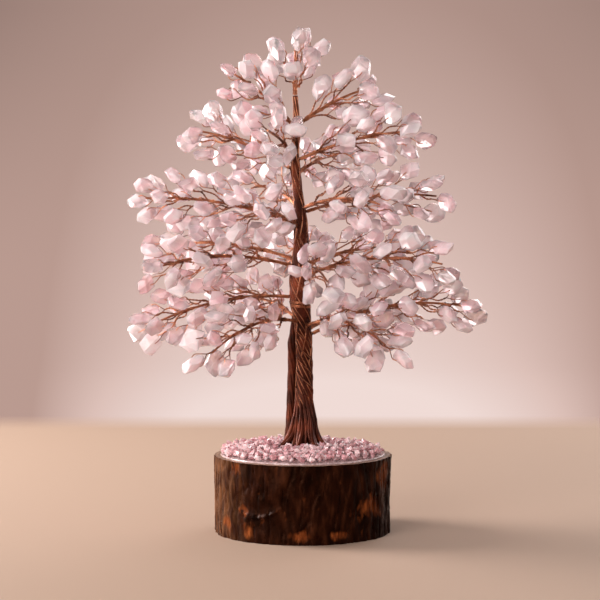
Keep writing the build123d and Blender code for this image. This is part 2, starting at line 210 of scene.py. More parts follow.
class NodeMaker:
    """Adds and links the nodes of one tree."""

    def __init__(self, tree: bpy.types.NodeTree, coordinates: str) -> None:
        """Take a tree and the coordinates that its patterns read."""
        self.tree = tree
        self.place = self.add("ShaderNodeTexCoord").outputs[coordinates]

    def add(self, kind: str, **settings: object) -> bpy.types.Node:
        """Add a node.

        Args:
            kind: The node's type.
            **settings: Its options.

        Returns:
            The new node.
        """
        node = self.tree.nodes.new(kind)
        for name, value in settings.items():
            setattr(node, name, value)
        return node

    def link(self, source: Socket, target: Socket) -> None:
        """Link two sockets."""
        self.tree.links.new(source, target)

    def axes(self) -> Mapping[str, Socket]:
        """Return the coordinates' X, Y and Z."""
        node = self.add("ShaderNodeSeparateXYZ")
        self.link(self.place, node.inputs["Vector"])
        return node.outputs

    def spread(
        self, factor: Socket, low: float, high: float, start: float = 0.0, end: float = 1.0
    ) -> Socket:
        """Draw out one stretch of a factor.

        Args:
            factor: The factor.
            low: Where the stretch starts.
            high: Where it ends.
            start: What low becomes.
            end: What high becomes.

        Returns:
            The drawn out factor, which stays within start and end.
        """
        node = self.add("ShaderNodeMapRange")
        for name, value in zip(("From Min", "From Max", "To Min", "To Max"), (low, high, start, end)):
            node.inputs[name].default_value = value
        self.link(factor, node.inputs["Value"])
        return node.outputs["Result"]

    def math(self, first: Socket, second: Socket, operation: str) -> Socket:
        """Put two numbers together.

        Args:
            first: The first number.
            second: The second number.
            operation: What is done with them.

        Returns:
            The result.
        """
        node = self.add("ShaderNodeMath", operation=operation)
        self.link(first, node.inputs[0])
        self.link(second, node.inputs[1])
        return node.outputs[0]


class ShaderMaker(NodeMaker):
    """Makes the material of one finish."""

    def __init__(self, name: str) -> None:
        """Start a material with a Principled surface."""
        self.material = bpy.data.materials.new(name)
        self.material.use_nodes = True
        super().__init__(self.material.node_tree, "Object")
        self.surface = self.tree.nodes["Principled BSDF"]

    def stretched(self, along: float) -> Socket:
        """Return the coordinates with upright runs drawn out, by a scale under 1."""
        node = self.add("ShaderNodeMapping")
        node.inputs["Scale"].default_value = (1.0, 1.0, along)
        self.link(self.place, node.inputs["Vector"])
        return node.outputs["Vector"]

    def noise(self, size: float, detail: float = 3.0, place: Socket | None = None) -> Socket:
        """Add cloudy noise.

        Args:
            size: About how large its patches are, in metres.
            detail: How fine it goes.
            place: Other coordinates than the object's own.

        Returns:
            The noise as a factor.
        """
        node = self.add("ShaderNodeTexNoise")
        node.inputs["Scale"].default_value = 1.0 / size
        node.inputs["Detail"].default_value = detail
        self.link(place or self.place, node.inputs["Vector"])
        return node.outputs["Fac"]

    def cracks(self, size: float) -> Socket:
        """Return the distance from the edges of cells about a size in metres."""
        node = self.add("ShaderNodeTexVoronoi", feature="DISTANCE_TO_EDGE")
        node.inputs["Scale"].default_value = 1.0 / size
        self.link(self.place, node.inputs["Vector"])
        return node.outputs["Distance"]

    def attribute(self, name: str) -> Socket:
        """Return a number stored on the mesh."""
        return self.add("ShaderNodeAttribute", attribute_name=name).outputs["Fac"]

    def ramp(self, factor: Socket, stops: Stops) -> Socket:
        """Lay colours along a factor.

        Args:
            factor: The factor.
            stops: Each colour, after the place where it stands.

        Returns:
            The colour.
        """
        node = self.add("ShaderNodeValToRGB")
        band = node.color_ramp
        while len(band.elements) < len(stops):
            band.elements.new(0.5)
        for element, (at, colour) in zip(band.elements, stops):
            element.position = at
            element.color = (*colour, 1.0)
        self.link(factor, node.inputs["Fac"])
        return node.outputs["Color"]

    def mix(self, factor: Socket, first: Socket, second: Socket) -> Socket:
        """Mix two colours.

        Args:
            factor: How much of the second shows.
            first: The first colour.
            second: The second colour.

        Returns:
            The mixed colour.
        """
        node = self.add("ShaderNodeMix", data_type="RGBA")
        for place, source in zip((0, 6, 7), (factor, first, second)):
            self.link(source, node.inputs[place])
        return node.outputs[2]

    def bump(self, height: Socket, depth: float, strength: float) -> None:
        """Add relief to the surface, over what is already there.

        Args:
            height: The relief.
            depth: How deep it is, in metres.
            strength: How much of it shows.
        """
        node = self.add("ShaderNodeBump")
        node.inputs["Distance"].default_value = depth
        node.inputs["Strength"].default_value = strength
        self.link(height, node.inputs["Height"])
        normal = self.surface.inputs["Normal"]
        if normal.is_linked:
            self.link(normal.links[0].from_socket, node.inputs["Normal"])
        self.link(node.outputs["Normal"], normal)

    def gloss(self, size: float, low: float, high: float) -> None:
        """Vary the roughness from low to high, in patches about a size in metres."""
        self.paint("Roughness", self.spread(self.noise(size), *PATCHES, low, high))

    def paint(self, name: str, source: Socket) -> None:
        """Feed one of the surface's sockets."""
        self.link(source, self.surface.inputs[name])

    def set(self, **values: object) -> None:
        """Set the surface's plain values, with underscores for the spaces in their names."""
        for name, value in values.items():
            self.surface.inputs[name.replace("_", " ")].default_value = value


@dataclass(frozen=True)
class Finish:
    """One finish of the tree."""

    name: str

    def dress(self, shader: ShaderMaker) -> None:
        """Give a new surface the finish."""
        raise NotImplementedError

    def build(self) -> Material:
        """Make the finish's material.

        Returns:
            The material.
        """
        shader = ShaderMaker(self.name)
        self.dress(shader)
        return shader.material


@dataclass(frozen=True)
class RoseQuartz(Finish):
    """Cloudy pink stone: milky veils in a half-clear body, with healed cracks."""

    name: str = "tumbled_rose_quartz"
    deep: Colour = (0.95, 0.60, 0.64)
    body: Colour = (0.98, 0.77, 0.79)
    milk: Colour = (1.0, 0.92, 0.925)
    veil_size: float = 8 * MM
    crack_size: float = 6 * MM
    dent_size: float = 2.4 * MM
    cloud_size: float = 18 * MM
    clearness: tuple[float, float] = (0.42, 0.84)
    glow: Colour = (1.0, 0.88, 0.90)
    glow_depth: float = 3.5 * MM

    def dress(self, shader: ShaderMaker) -> None:
        """Give a stone its veils, its cracks and its half-clear depth.

        Args:
            shader: The stone's surface.
        """
        veil = shader.noise(self.veil_size, detail=5.0)
        inside = shader.ramp(veil, ((0.30, self.deep), (0.52, self.body), (0.72, self.milk)))
        pale = shader.ramp(veil, ((0.30, self.body), (0.60, self.milk)))
        shader.paint("Base Color", shader.mix(shader.attribute("tint"), inside, pale))
        shader.gloss(3 * MM, low=0.03, high=0.18)
        healed = shader.spread(shader.cracks(self.crack_size), low=0.0, high=0.06)
        shader.bump(healed, depth=0.25 * MM, strength=0.25)
        shader.bump(shader.noise(self.dent_size, detail=2.0), depth=0.5 * MM, strength=0.30)
        cloud = shader.noise(self.cloud_size, detail=1.0)
        shader.paint("Transmission Weight", shader.spread(cloud, 0.38, 0.60, *self.clearness))
        shader.set(IOR=1.48, Subsurface_Weight=0.7)
        shader.set(Subsurface_Radius=self.glow, Subsurface_Scale=self.glow_depth)


@dataclass(frozen=True)
class PinkGravel(Finish):
    """Crushed pink stone, glassy where it broke."""

    name: str = "crushed_pink_stone"
    deep: Colour = (0.50, 0.20, 0.225)
    body: Colour = (0.67, 0.35, 0.37)
    milk: Colour = (0.89, 0.69, 0.69)
    grain_size: float = 1.5 * MM
    patch_size: float = 3 * MM
    glow: Colour = (1.0, 0.7, 0.7)
    glow_depth: float = 2 * MM

    def dress(self, shader: ShaderMaker) -> None:
        """Give each chip its own pink, with paler grain.

        Args:
            shader: The gravel's surface.
        """
        stops = ((0.05, self.deep), (0.45, self.body), (0.95, self.milk))
        chip = shader.ramp(shader.attribute("tint"), stops)
        grain = shader.ramp(shader.noise(self.grain_size), ((0.3, self.body), (0.7, self.milk)))
        patch = shader.spread(shader.noise(self.patch_size), low=0.35, high=0.65, end=0.6)
        shader.paint("Base Color", shader.mix(patch, chip, grain))
        shader.gloss(1.2 * MM, low=0.06, high=0.34)
        shader.set(IOR=1.54, Transmission_Weight=0.32, Subsurface_Weight=0.3)
        shader.set(Subsurface_Radius=self.glow, Subsurface_Scale=self.glow_depth)


@dataclass(frozen=True)
class Copper(Finish):
    """Drawn copper wire, browned by handling and brighter where it rubs."""

    name: str = "browned_copper"
    dark: Colour = (0.12, 0.038, 0.020)
    brown: Colour = (0.34, 0.122, 0.060)
    bright: Colour = (0.66, 0.29, 0.150)
    patina_size: float = 6 * MM
    draw_size: float = 0.5 * MM

    def dress(self, shader: ShaderMaker) -> None:
        """Give a wire its patina.

        Args:
            shader: The wire's surface.
        """
        patina = shader.noise(self.patina_size, detail=4.0)
        stops = ((0.32, self.dark), (0.52, self.brown), (0.74, self.bright))
        shader.paint("Base Color", shader.ramp(patina, stops))
        shader.gloss(2 * MM, low=0.24, high=0.46)
        shader.bump(shader.noise(self.draw_size), depth=0.08 * MM, strength=0.35)
        shader.set(Metallic=0.9)


@dataclass(frozen=True)
class VarnishedTrunk(Finish):
    """Copper strands under dark brown varnish, worn through along the strands."""

    name: str = "varnished_trunk"
    black: Colour = (0.017, 0.0036, 0.0022)
    brown: Colour = (0.052, 0.0090, 0.0042)
    worn: Colour = (0.15, 0.030, 0.012)
    sheen: Colour = (1.0, 0.42, 0.28)
    blotch_size: float = 9 * MM
    brush_size: float = 1.3 * MM

    def dress(self, shader: ShaderMaker) -> None:
        """Give a strand its blotched varnish.

        Args:
            shader: The strand's surface.
        """
        blotch = shader.noise(self.blotch_size, detail=5.0)
        stops = ((0.36, self.black), (0.52, self.brown), (0.72, self.worn))
        shader.paint("Base Color", shader.ramp(blotch, stops))
        shader.gloss(3 * MM, low=0.24, high=0.50)
        shader.bump(shader.noise(self.brush_size, detail=4.0), depth=0.3 * MM, strength=0.5)
        shader.set(Metallic=0.25, Specular_IOR_Level=0.35, Coat_Weight=0.03, Coat_Roughness=0.2)
        shader.set(Specular_Tint=(*self.sheen, 1.0))


@dataclass(frozen=True)
class VarnishedBark(Finish):
    """Dark varnished bark, painted a lighter brown on its lamp-lit left side as painted light, with
    orange inner bark where it has peeled.
    """

    name: str = "varnished_bark"
    black: Colour = (0.0030, 0.0008, 0.0004)
    brown: Colour = (0.011, 0.0026, 0.0011)
    ridge: Colour = (0.034, 0.0095, 0.0038)
    peeled: Colour = (0.130, 0.030, 0.0076)
    raw: Colour = (0.29, 0.080, 0.020)
    # Painted light: the lighter brown that the lamp-lit left side is washed towards.
    lit_side_brown: Colour = (0.17, 0.068, 0.028)
    sheen: Colour = (1.0, 0.38, 0.20)
    streak_size: float = 5 * MM
    fibre_size: float = 3 * MM
    torn_size: float = 2.6 * MM
    pore_size: float = 0.9 * MM
    # Painted light: where the left side's lighter wash starts and ends along X, and how much of it
    # shows.
    lit_side_start: float = -30 * MM
    lit_side_end: float = -50 * MM
    lit_side_share: float = 0.8

    def dress(self, shader: ShaderMaker) -> None:
        """Give the bark its streaks, its painted light on the left side and its peeled patches.

        Args:
            shader: The bark's surface.
        """
        streak = shader.noise(self.streak_size, detail=6.0, place=shader.stretched(0.32))
        skin = shader.ramp(streak, ((0.34, self.black), (0.52, self.brown), (0.70, self.ridge)))
        fibre = shader.noise(self.fibre_size, detail=6.0, place=shader.stretched(0.25))
        # Painted light: the left side (towards -X), where the key lamp falls, is washed a lighter brown.
        side = shader.spread(shader.axes()["X"], self.lit_side_start, self.lit_side_end, end=self.lit_side_share)
        lit_wash = shader.ramp(fibre, ((0.40, self.ridge), (0.64, self.lit_side_brown)))
        skin = shader.mix(side, skin, lit_wash)
        inner = shader.ramp(fibre, ((0.36, self.brown), (0.53, self.peeled), (0.72, self.raw)))
        torn = shader.noise(self.torn_size, detail=5.0, place=shader.stretched(0.45))
        edge = shader.math(shader.attribute("peel"), torn, "MULTIPLY")
        shader.paint("Base Color", shader.mix(shader.spread(edge, low=0.15, high=0.50), skin, inner))
        shader.gloss(4 * MM, low=0.20, high=0.58)
        shader.bump(streak, depth=0.9 * MM, strength=0.6)
        shader.bump(shader.noise(self.pore_size, detail=4.0), depth=0.25 * MM, strength=0.5)
        shader.set(Specular_IOR_Level=0.055, Specular_Tint=(*self.sheen, 1.0))


@dataclass(frozen=True)
class EndGrain(Finish):
    """Sawn and varnished end grain with its growth rings."""

    name: str = "varnished_end_grain"
    late: Colour = (0.13, 0.062, 0.034)
    early: Colour = (0.30, 0.17, 0.10)
    ring_width: float = 1.7 * MM
    waves_per_scale: float = 0.31
    stain_size: float = 14 * MM
    blend_size: float = 5 * MM

    def dress(self, shader: ShaderMaker) -> None:
        """Give the wood its rings and stains.

        Args:
            shader: The wood's surface.
        """
        rings = shader.add("ShaderNodeTexWave", wave_type="RINGS", rings_direction="Z")
        wander = {"Scale": self.waves_per_scale / self.ring_width, "Distortion": 2.5, "Detail": 3.0}
        for name, value in wander.items():
            rings.inputs[name].default_value = value
        shader.link(shader.place, rings.inputs["Vector"])
        grain = shader.ramp(rings.outputs["Fac"], ((0.15, self.late), (0.75, self.early)))
        blotch = shader.noise(self.stain_size, detail=4.0)
        stain = shader.ramp(blotch, ((0.35, self.late), (0.65, self.early)))
        shader.paint("Base Color", shader.mix(shader.noise(self.blend_size), grain, stain))
        shader.gloss(2 * MM, low=0.38, high=0.62)
        shader.bump(rings.outputs["Fac"], depth=0.2 * MM, strength=0.4)
        shader.set(Coat_Weight=0.2, Coat_Roughness=0.3)


@dataclass(frozen=True)
class ClearGlue(Finish):
    """Set glue, cloudy with stone dust."""

    name: str = "set_clear_glue"
    clear: Colour = (0.46, 0.31, 0.30)
    dusty: Colour = (0.70, 0.53, 0.52)
    dust_size: float = 4 * MM
    ripple_size: float = 1.8 * MM

    def dress(self, shader: ShaderMaker) -> None:
        """Give the glue its dust and ripples.

        Args:
            shader: The glue's surface.
        """
        dust = shader.noise(self.dust_size, detail=5.0)
        shader.paint("Base Color", shader.ramp(dust, ((0.35, self.clear), (0.65, self.dusty))))
        shader.gloss(2 * MM, low=0.10, high=0.35)
        shader.bump(shader.noise(self.ripple_size), depth=0.5 * MM, strength=0.5)
        shader.set(IOR=1.5, Transmission_Weight=0.25)


@dataclass
class Finishes:
    """All the tree's materials, by slot."""

    made: dict[Slot, Material] = field(default_factory=dict)

    def build(self) -> None:
        """Make each finish once."""
        makers = {
            Slot.QUARTZ: RoseQuartz(),
            Slot.COPPER: Copper(),
            Slot.TRUNK: VarnishedTrunk(),
            Slot.BARK: VarnishedBark(),
            Slot.WOOD: EndGrain(),
            Slot.GLUE: ClearGlue(),
            Slot.GRAVEL: PinkGravel(),
        }
        for slot, maker in makers.items():
            self.made[slot] = maker.build()

    def dress_node(self, node: Piece, slot: Slot) -> None:
        """Give a node of the frame that stays its finish."""
        node.data.materials.clear()
        node.data.materials.append(self.made[slot])


def finish_piece(obj: Piece, body: str, replaced: Iterable[str] = ()) -> Piece:
    """Put a finished piece on its body and hide the nodes of the frame that it stands for.

    Args:
        obj: The piece, with its place in its mesh.
        body: The body that it rides on.
        replaced: The nodes of the frame that it stands for.

    Returns:
        The same piece.
    """
    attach(obj, body)
    nodes = list(replaced)
    if nodes:
        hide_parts(*nodes)
    LOG.info("%s rides on %s with %d faces", obj.name, body, len(obj.data.polygons))
    return obj


def new_object(name: str, mesh: Mesh, materials: Iterable[Material] = ()) -> Piece:
    """Make a shown, smooth-shaded object of a mesh.

    Args:
        name: The object's name.
        mesh: Its mesh.
        materials: The finishes that are added to the mesh.

    Returns:
        The object.
    """
    for material in materials:
        mesh.materials.append(material)
    mesh.shade_smooth()
    obj = bpy.data.objects.new(name, mesh)
    bpy.context.scene.collection.objects.link(obj)
    return obj


def made_mesh(name: str, work: bmesh.types.BMesh) -> Mesh:
    """Return a finished bmesh as a mesh, and free it."""
    mesh = bpy.data.meshes.new(name)
    work.to_mesh(mesh)
    work.free()
    return mesh


@dataclass
class StrandBundle:
    """Round strands along lines in millimetres, made one mesh."""

    name: str
    sides: int = 1
    lines: list[tuple[list[Vector], list[float], Strand]] = field(default_factory=list)

    def add(self, line: Sequence[Vector], radii: Sequence[float] | float, kind: Strand) -> None:
        """Add one strand along a line, with one radius or one for each point."""
        thick = [radii] * len(line) if isinstance(radii, (int, float)) else list(radii)
        self.lines.append((list(line), thick, kind))

    def build(self, materials: Sequence[Material]) -> Piece:
        """Make the bundle one piece.

        Args:
            materials: The finish of each kind of strand.

        Returns:
            The piece.
        """
        curve = bpy.data.curves.new(self.name, "CURVE")
        curve.dimensions = "3D"
        curve.bevel_depth = MM
        curve.bevel_resolution = self.sides
        curve.use_fill_caps = True
        for material in materials:
            curve.materials.append(material)
        for line, radii, kind in self.lines:
            spline = curve.splines.new("POLY")
            spline.points.add(len(line) - 1)
            spline.material_index = kind.value
            for point, place, radius in zip(spline.points, line, radii):
                point.co = (*(place * MM), 1.0)
                point.radius = radius
        drawn = bpy.data.objects.new(self.name, curve)
        mesh = bpy.data.meshes.new_from_object(drawn)
        bpy.data.objects.remove(drawn)
        bpy.data.curves.remove(curve)
        mesh.name = self.name
        return new_object(self.name, mesh)


@dataclass(frozen=True)
class Branch:
    """One branch as the model has it: heights are over the log's top face, in millimetres."""

    name: str
    root: float
    azimuth: float
    reach: float
    tip: float
    arch: float
    stones: int
    spread: float
    depth: float
    phase: float


BRANCHES = (
    Branch("low_right", 70, 0, 100, 84, 9, 22, 26, 15, 300),
    Branch("low_left", 91, 182, 96, 70, 7, 21, 25, 14, 316),
    Branch("low_front_left", 77, 233, 87, 60, 8, 19, 24, 14, 256),
    Branch("low_front_right", 75, 303, 87, 65, 8, 19, 24, 14, 0),
    Branch("low_back_right", 72, 54, 88, 66, 8, 19, 25, 14, 88),
    Branch("low_back_left", 78, 122, 88, 82, 8, 19, 25, 14, 300),
    Branch("middle_front_right", 104, 334, 92, 109, 7, 19, 24, 14, 280),
    Branch("middle_back_left", 113, 155, 99, 118, 6, 19, 24, 14, 328),
    Branch("middle_back", 107, 90, 84, 113, 6, 17, 24, 14, 288),
    Branch("middle_front_left", 109, 208, 100, 106, 7, 19, 24, 14, 68),
    Branch("middle_front", 104, 284, 58, 100, 6, 10, 17, 13, 132),
    Branch("middle_back_right", 110, 36, 88, 114, 6, 18, 24, 14, 288),
    Branch("upper_left", 134, 185, 96, 147, 5, 19, 24, 14, 236),
    Branch("upper_right", 140, 4, 83, 148, 5, 17, 24, 14, 164),
    Branch("upper_back", 144, 116, 76, 154, 5, 15, 23, 14, 280),
    Branch("upper_front_left", 132, 241, 68, 136, 5, 13, 21, 14, 172),
    Branch("upper_front_right", 142, 310, 70, 142, 5, 14, 21, 14, 316),
    Branch("high_left", 165, 174, 66, 187, 4, 15, 22, 14, 132),
    Branch("high_right", 170, 346, 70, 185, 4, 16, 22, 14, 52),
    Branch("high_back", 162, 64, 60, 173, 4, 12, 21, 14, 128),
    Branch("high_front", 171, 246, 50, 184, 3, 11, 19, 14, 120),
    Branch("crest_left", 190, 202, 44, 218, 3, 11, 19, 14, 224),
    Branch("crest_right", 191, 18, 47, 213, 3, 11, 19, 14, 80),
    Branch("top", 206, 180, 0, 241, 0, 10, 19, 19, 260),
)


@dataclass(frozen=True)
class TrunkLine:
    """The trunk as the model has it: height over the log, wander and radius, in millimetres."""

    sections: tuple[tuple[float, float, float], ...] = (
        (3.5, 0.4, 6.6),
        (18.0, 0.6, 5.3),
        (51.0, 1.0, 4.4),
        (68.0, 0.6, 4.3),
        (78.0, -0.2, 4.7),
        (89.0, -1.6, 5.6),
        (101.0, -1.8, 5.4),
        (108.0, -1.7, 4.7),
        (126.0, -0.6, 4.0),
        (147.0, -2.2, 2.8),
        (169.0, -4.4, 2.1),
        (191.0, -3.4, 1.6),
        (206.0, -4.2, 1.4),
    )

    @property
    def foot(self) -> float:
        """The height where the trunk starts."""
        return self.sections[0][0]

    @property
    def top(self) -> float:
        """The height where the trunk ends."""
        return self.sections[-1][0]

    def at(self, height: float) -> tuple[Vector, float]:
        """Find the trunk at a height.

        Args:
            height: The height over the log.

        Returns:
            The trunk's centre and radius there.
        """
        level = min(max(height, self.foot), self.top)
        for low, high in zip(self.sections, self.sections[1:]):
            if level <= high[0]:
                share = (level - low[0]) / (high[0] - low[0])
                wander = between(low[1], high[1], share)
                radius = between(low[2], high[2], share)
                break
        return Vector((wander, 0.0, LOG_HEIGHT + height)), radius


@dataclass(frozen=True)
class BranchLine:
    """Where one branch's stem, twigs and stones lie, in millimetres, as the model has them."""

    branch: Branch
    trunk: TrunkLine
    stem_root: float = 1.4
    stem_tip: float = 0.7
    stem_share: float = 0.93
    clearance: float = 0.45
    bend_room: float = 12.0
    twig_lay: float = 4.0
    twigs_per_fork: int = 5
    fork_lead: float = 15.0
    nearest_fork: float = 0.12
    fork_step: float = 0.01
    first_stone: float = 0.34
    fullest: float = 0.45
    fullness: float = 0.62
    inner_spread: float = 0.55

    @property
    def upright(self) -> bool:
        """Whether the branch is the top, which stands on the trunk's end."""
        return self.branch.root >= self.trunk.top

    def ends(self) -> tuple[Vector, Vector]:
        """Find the stem's ends.

        Returns:
            Its root, clear of the trunk, and its tip.
        """
        centre, radius = self.trunk.at(self.branch.root)
        tip_height = LOG_HEIGHT + self.branch.tip
        if self.upright:
            lean = self.stem_root * math.sin(math.radians(self.bend_room))
            return centre + UP * (self.clearance + lean), Vector((centre.x, 0.0, tip_height))
        tip = around(self.branch.azimuth, self.branch.reach) + UP * tip_height
        way = tip - centre - around(self.branch.azimuth, radius) + UP * HUMP_SLOPE * self.branch.arch
        steepest = abs(math.asin(way.z / way.length)) + math.radians(self.bend_room)
        lean = self.stem_root * math.sin(steepest)
        return centre + around(self.branch.azimuth, radius + self.clearance + lean), tip

    def stem(self, share: float) -> Vector:
        """Return a point of the arched stem."""
        root, tip = self.ends()
        return root + (tip - root) * share + UP * self.branch.arch * hump(share)

    def sides(self) -> Frame:
        """Find the two directions across the branch.

        Returns:
            The level one and the upright one.
        """
        root, tip = self.ends()
        lateral = ASIDE if self.upright else UP.cross(around(self.branch.azimuth))
        lift = (tip - root).normalized().cross(lateral)
        return lateral, lift if lift.z > 0 or self.upright else -lift

    def stone_share(self, number: int) -> float:
        """Return how far out along the stem a stone hangs."""
        return between(self.first_stone, 1.0, (number + 0.5) / self.branch.stones)

    def turn(self, number: int) -> float:
        """Return a stone's angle round the branch, in radians."""
        return math.radians(number * GOLDEN_ANGLE + self.branch.phase)

    def stone(self, number: int) -> Vector:
        """Find the middle of a stone.

        Args:
            number: Which of the branch's stones it is.

        Returns:
            Its middle.
        """
        share = (number + 0.5) / self.branch.stones
        full = math.sqrt(1 - ((share - self.fullest) / self.fullness) ** 2)
        lateral, lift = self.sides()
        widening = between(self.inner_spread, 1.0, share)
        level = self.branch.spread * full * widening * math.cos(self.turn(number))
        upward = self.branch.depth * full * math.sin(self.turn(number))
        return self.stem(self.stone_share(number)) + lateral * level + lift * upward

    def twig(self, number: int, stand_off: float) -> tuple[Vector, Vector, Vector]:
        """Find a twig's run.

        Args:
            number: Which of the branch's twigs it is.
            stand_off: How far the twig's middle stands off the stem's surface.

        Returns:
            Its start beside the stem, where it leaves the stem, and its stone's middle.
        """
        root, tip = self.ends()
        first = number - number % self.twigs_per_fork
        lead = self.fork_lead / (tip - root).length
        fork = max(self.stone_share(first) - lead, self.nearest_fork)
        radius = between(self.stem_root, self.stem_tip, fork / self.stem_share)
        leave = self.stem(fork) + off_line(self.sides(), self.turn(number)) * (radius + stand_off)
        way = (self.stem(fork + self.fork_step) - self.stem(fork - self.fork_step)).normalized()
        return leave - way * self.twig_lay, leave, self.stone(number)


@dataclass
class BranchWires:
    """A branch's twisted stem and its twisted pairs, each pair split round its stone, in millimetres.

    The bends are shares of a twig's way and of its kink, and the loop's points are shares of a stone's
    half length back from its middle and of its half thickness.
    """

    line: BranchLine
    first_index: int
    stem_strands: int = 5
    stem_step: float = 1.6
    fewest_steps: int = 8
    stem_pitch: float = 14.0
    stem_ring: float = 0.44
    stem_strand: float = 0.34
    uneven: float = 0.14
    uneven_wave: float = 0.45
    uneven_shift: float = 1.9
    top_tuck: float = 0.25
    pair_radius: float = 0.28
    pair_pitch: float = 4.2
    pair_steps: int = 8
    twig_stand_off: float = -0.30
    kink: float = 1.4
    bends: tuple[tuple[float, float], ...] = ((0.36, 1.0), (0.70, -0.7))
    entry_gap: float = 1.6
    stone_length: float = 16.0
    stone_thickness: float = 7.8
    nearly_upright: float = 0.01
    loop: tuple[tuple[float, float], ...] = ((0.88, 0.52), (0.52, 0.94), (0.22, 0.80))
    loop_steps: int = 4

    def stem_lines(self, bundle: StrandBundle) -> None:
        """Lay the stem's strands round each other, thinning to the tip.

        Args:
            bundle: Where the strands go.
        """
        root, tip = self.line.ends()
        count = max(int((tip - root).length / self.stem_step), self.fewest_steps)
        tuck = self.top_tuck / (tip - root).length if self.line.upright else 0.0
        shares = [(self.line.stem_share + tuck) * k / count - tuck for k in range(count + 1)]
        middle = [self.line.stem(share) for share in shares]
        frames = line_frames(middle)
        thick = [between(self.line.stem_root, self.line.stem_tip, k / count) for k in range(count + 1)]
        for strand in range(self.stem_strands):
            points = []
            for centre, frame, radius, travelled in zip(middle, frames, thick, distances(middle)):
                angle = TURN * (strand / self.stem_strands + travelled / self.stem_pitch)
                wave = math.sin(travelled * self.uneven_wave + strand * self.uneven_shift)
                ring = radius * self.stem_ring * (1 + self.uneven * wave)
                points.append(centre + off_line(frame, angle, ring))
            bundle.add(points, [radius * self.stem_strand for radius in thick], Strand.COPPER)

    def stone_normal(self, index: int, way: Vector) -> Vector:
        """Find the thin direction of a stone, as the model turns it about its twig.

        Args:
            index: Which of the tree's stones it is.
            way: The way that its twig enters it.

        Returns:
            The direction, of length 1.
        """
        side, _ = across(way, self.nearly_upright)
        turned = Matrix.Rotation(TURN * vary(index, ROLL_SHARE), 3, way) @ side
        return way.cross(turned).normalized()

    def pair_lines(self, bundle: StrandBundle, number: int) -> None:
        """Lay one twisted pair from the stem to its stone, and its loop through the stone.

        Args:
            bundle: Where the wires go.
            number: Which of the branch's twigs it is.
        """
        index = self.first_index + number
        start, leave, centre = self.line.twig(number, self.twig_stand_off)
        way = (centre - leave).normalized()
        half = self.stone_length / 2
        thick = self.stone_thickness / 2
        entry = centre - way * (half + self.entry_gap)
        aside = off_line(across(way), TURN * vary(index, TILT_SHARE), self.kink)
        kinks = [leave + (entry - leave) * share + aside * size for share, size in self.bends]
        twig = smooth_line([start, leave, *kinks, entry], self.pair_steps)
        frames = line_frames(twig)
        normal = self.stone_normal(index, way)
        angles = [TURN * travelled / self.pair_pitch for travelled in distances(twig)]
        last_side, last_other = frames[-1]
        aim = math.atan2(normal.dot(last_other), normal.dot(last_side)) - angles[-1]
        for flip, out in ((0.0, normal), (math.pi, -normal)):
            points = []
            for point, frame, angle in zip(twig, frames, angles):
                points.append(point + off_line(frame, angle + aim + flip, self.pair_radius))
            loop = [centre - way * half * back + out * thick * off for back, off in self.loop]
            end = smooth_line([*points[-2:], *loop], self.loop_steps)
            bundle.add(points[:-2] + end, self.pair_radius, Strand.COPPER)

    def build(self, finishes: Finishes) -> Piece:
        """Make the branch's wires one piece on its body.

        Args:
            finishes: The tree's materials.

        Returns:
            The piece.
        """
        name = self.line.branch.name
        bundle = StrandBundle(f"{name}_copper")
        self.stem_lines(bundle)
        for number in range(self.line.branch.stones):
            self.pair_lines(bundle, number)
        copper = finishes.made[Slot.COPPER]
        wires = bundle.build((copper, copper))
        return finish_piece(wires, f"{name}_branch", [f"{name}_wires"])


def hull_of(corners: Sequence[Vector]) -> bmesh.types.BMesh:
    """Wrap corners in a closed hull.

    Args:
        corners: The corners, of which those inside the hull are dropped.

    Returns:
        The hull.
    """
    hull = bmesh.new()
    verts = [hull.verts.new(corner) for corner in corners]
    made = bmesh.ops.convex_hull(hull, input=verts)
    spare = [part for part in made["geom_interior"] if isinstance(part, bmesh.types.BMVert)]
    bmesh.ops.delete(hull, geom=spare, context="VERTS")
    return hull


def chip_ways(corners: Sequence[Vector]) -> tuple[Vector, Vector, Vector]:
    """Find the way that a chip lies.

    Args:
        corners: The chip's corners.

    Returns:
        Its long, its wide and its thin way.
    """
    cloud = numpy.array([tuple(corner) for corner in corners])
    _, ways = numpy.linalg.eigh(numpy.cov(cloud.T))
    return Vector(ways[:, 2]), Vector(ways[:, 1]), Vector(ways[:, 0])


def joined_chips(name: str, chips: Iterable[tuple[bmesh.types.BMesh, float]]) -> Mesh:
    """Join chips in one mesh.

    Args:
        name: The mesh's name.
        chips: Each chip and its tint.

    Returns:
        The mesh, with each chip's tint stored on it.
    """
    whole = bmesh.new()
    tint = whole.verts.layers.float.new("tint")
    for chip, shade in chips:
        known = len(whole.verts)
        single = made_mesh("chip", chip)
        whole.from_mesh(single)
        bpy.data.meshes.remove(single)
        whole.verts.ensure_lookup_table()
        for vert in whole.verts[known:]:
            vert[tint] = shade
    bmesh.ops.recalc_face_normals(whole, faces=whole.faces)
    return made_mesh(name, whole)


@dataclass(frozen=True)
class ChipWear:
    """How a chip broke, in shares of its reach, and how its edges wore, in millimetres and degrees."""

    rounding: float
    flatness: float
    edge_breaks: int
    face_breaks: int
    edge_depth: float
    face_depth: float
    turn_scatter: float = 0.2
    face_lean: float = 0.5
    least_break: float = 0.3


TUMBLED = ChipWear(
    rounding=1.25, flatness=26.0, edge_breaks=3, face_breaks=2, edge_depth=0.26, face_depth=0.16
)
CRUSHED = ChipWear(
    rounding=0.0, flatness=12.0, edge_breaks=4, face_breaks=2, edge_depth=0.52, face_depth=0.50
)


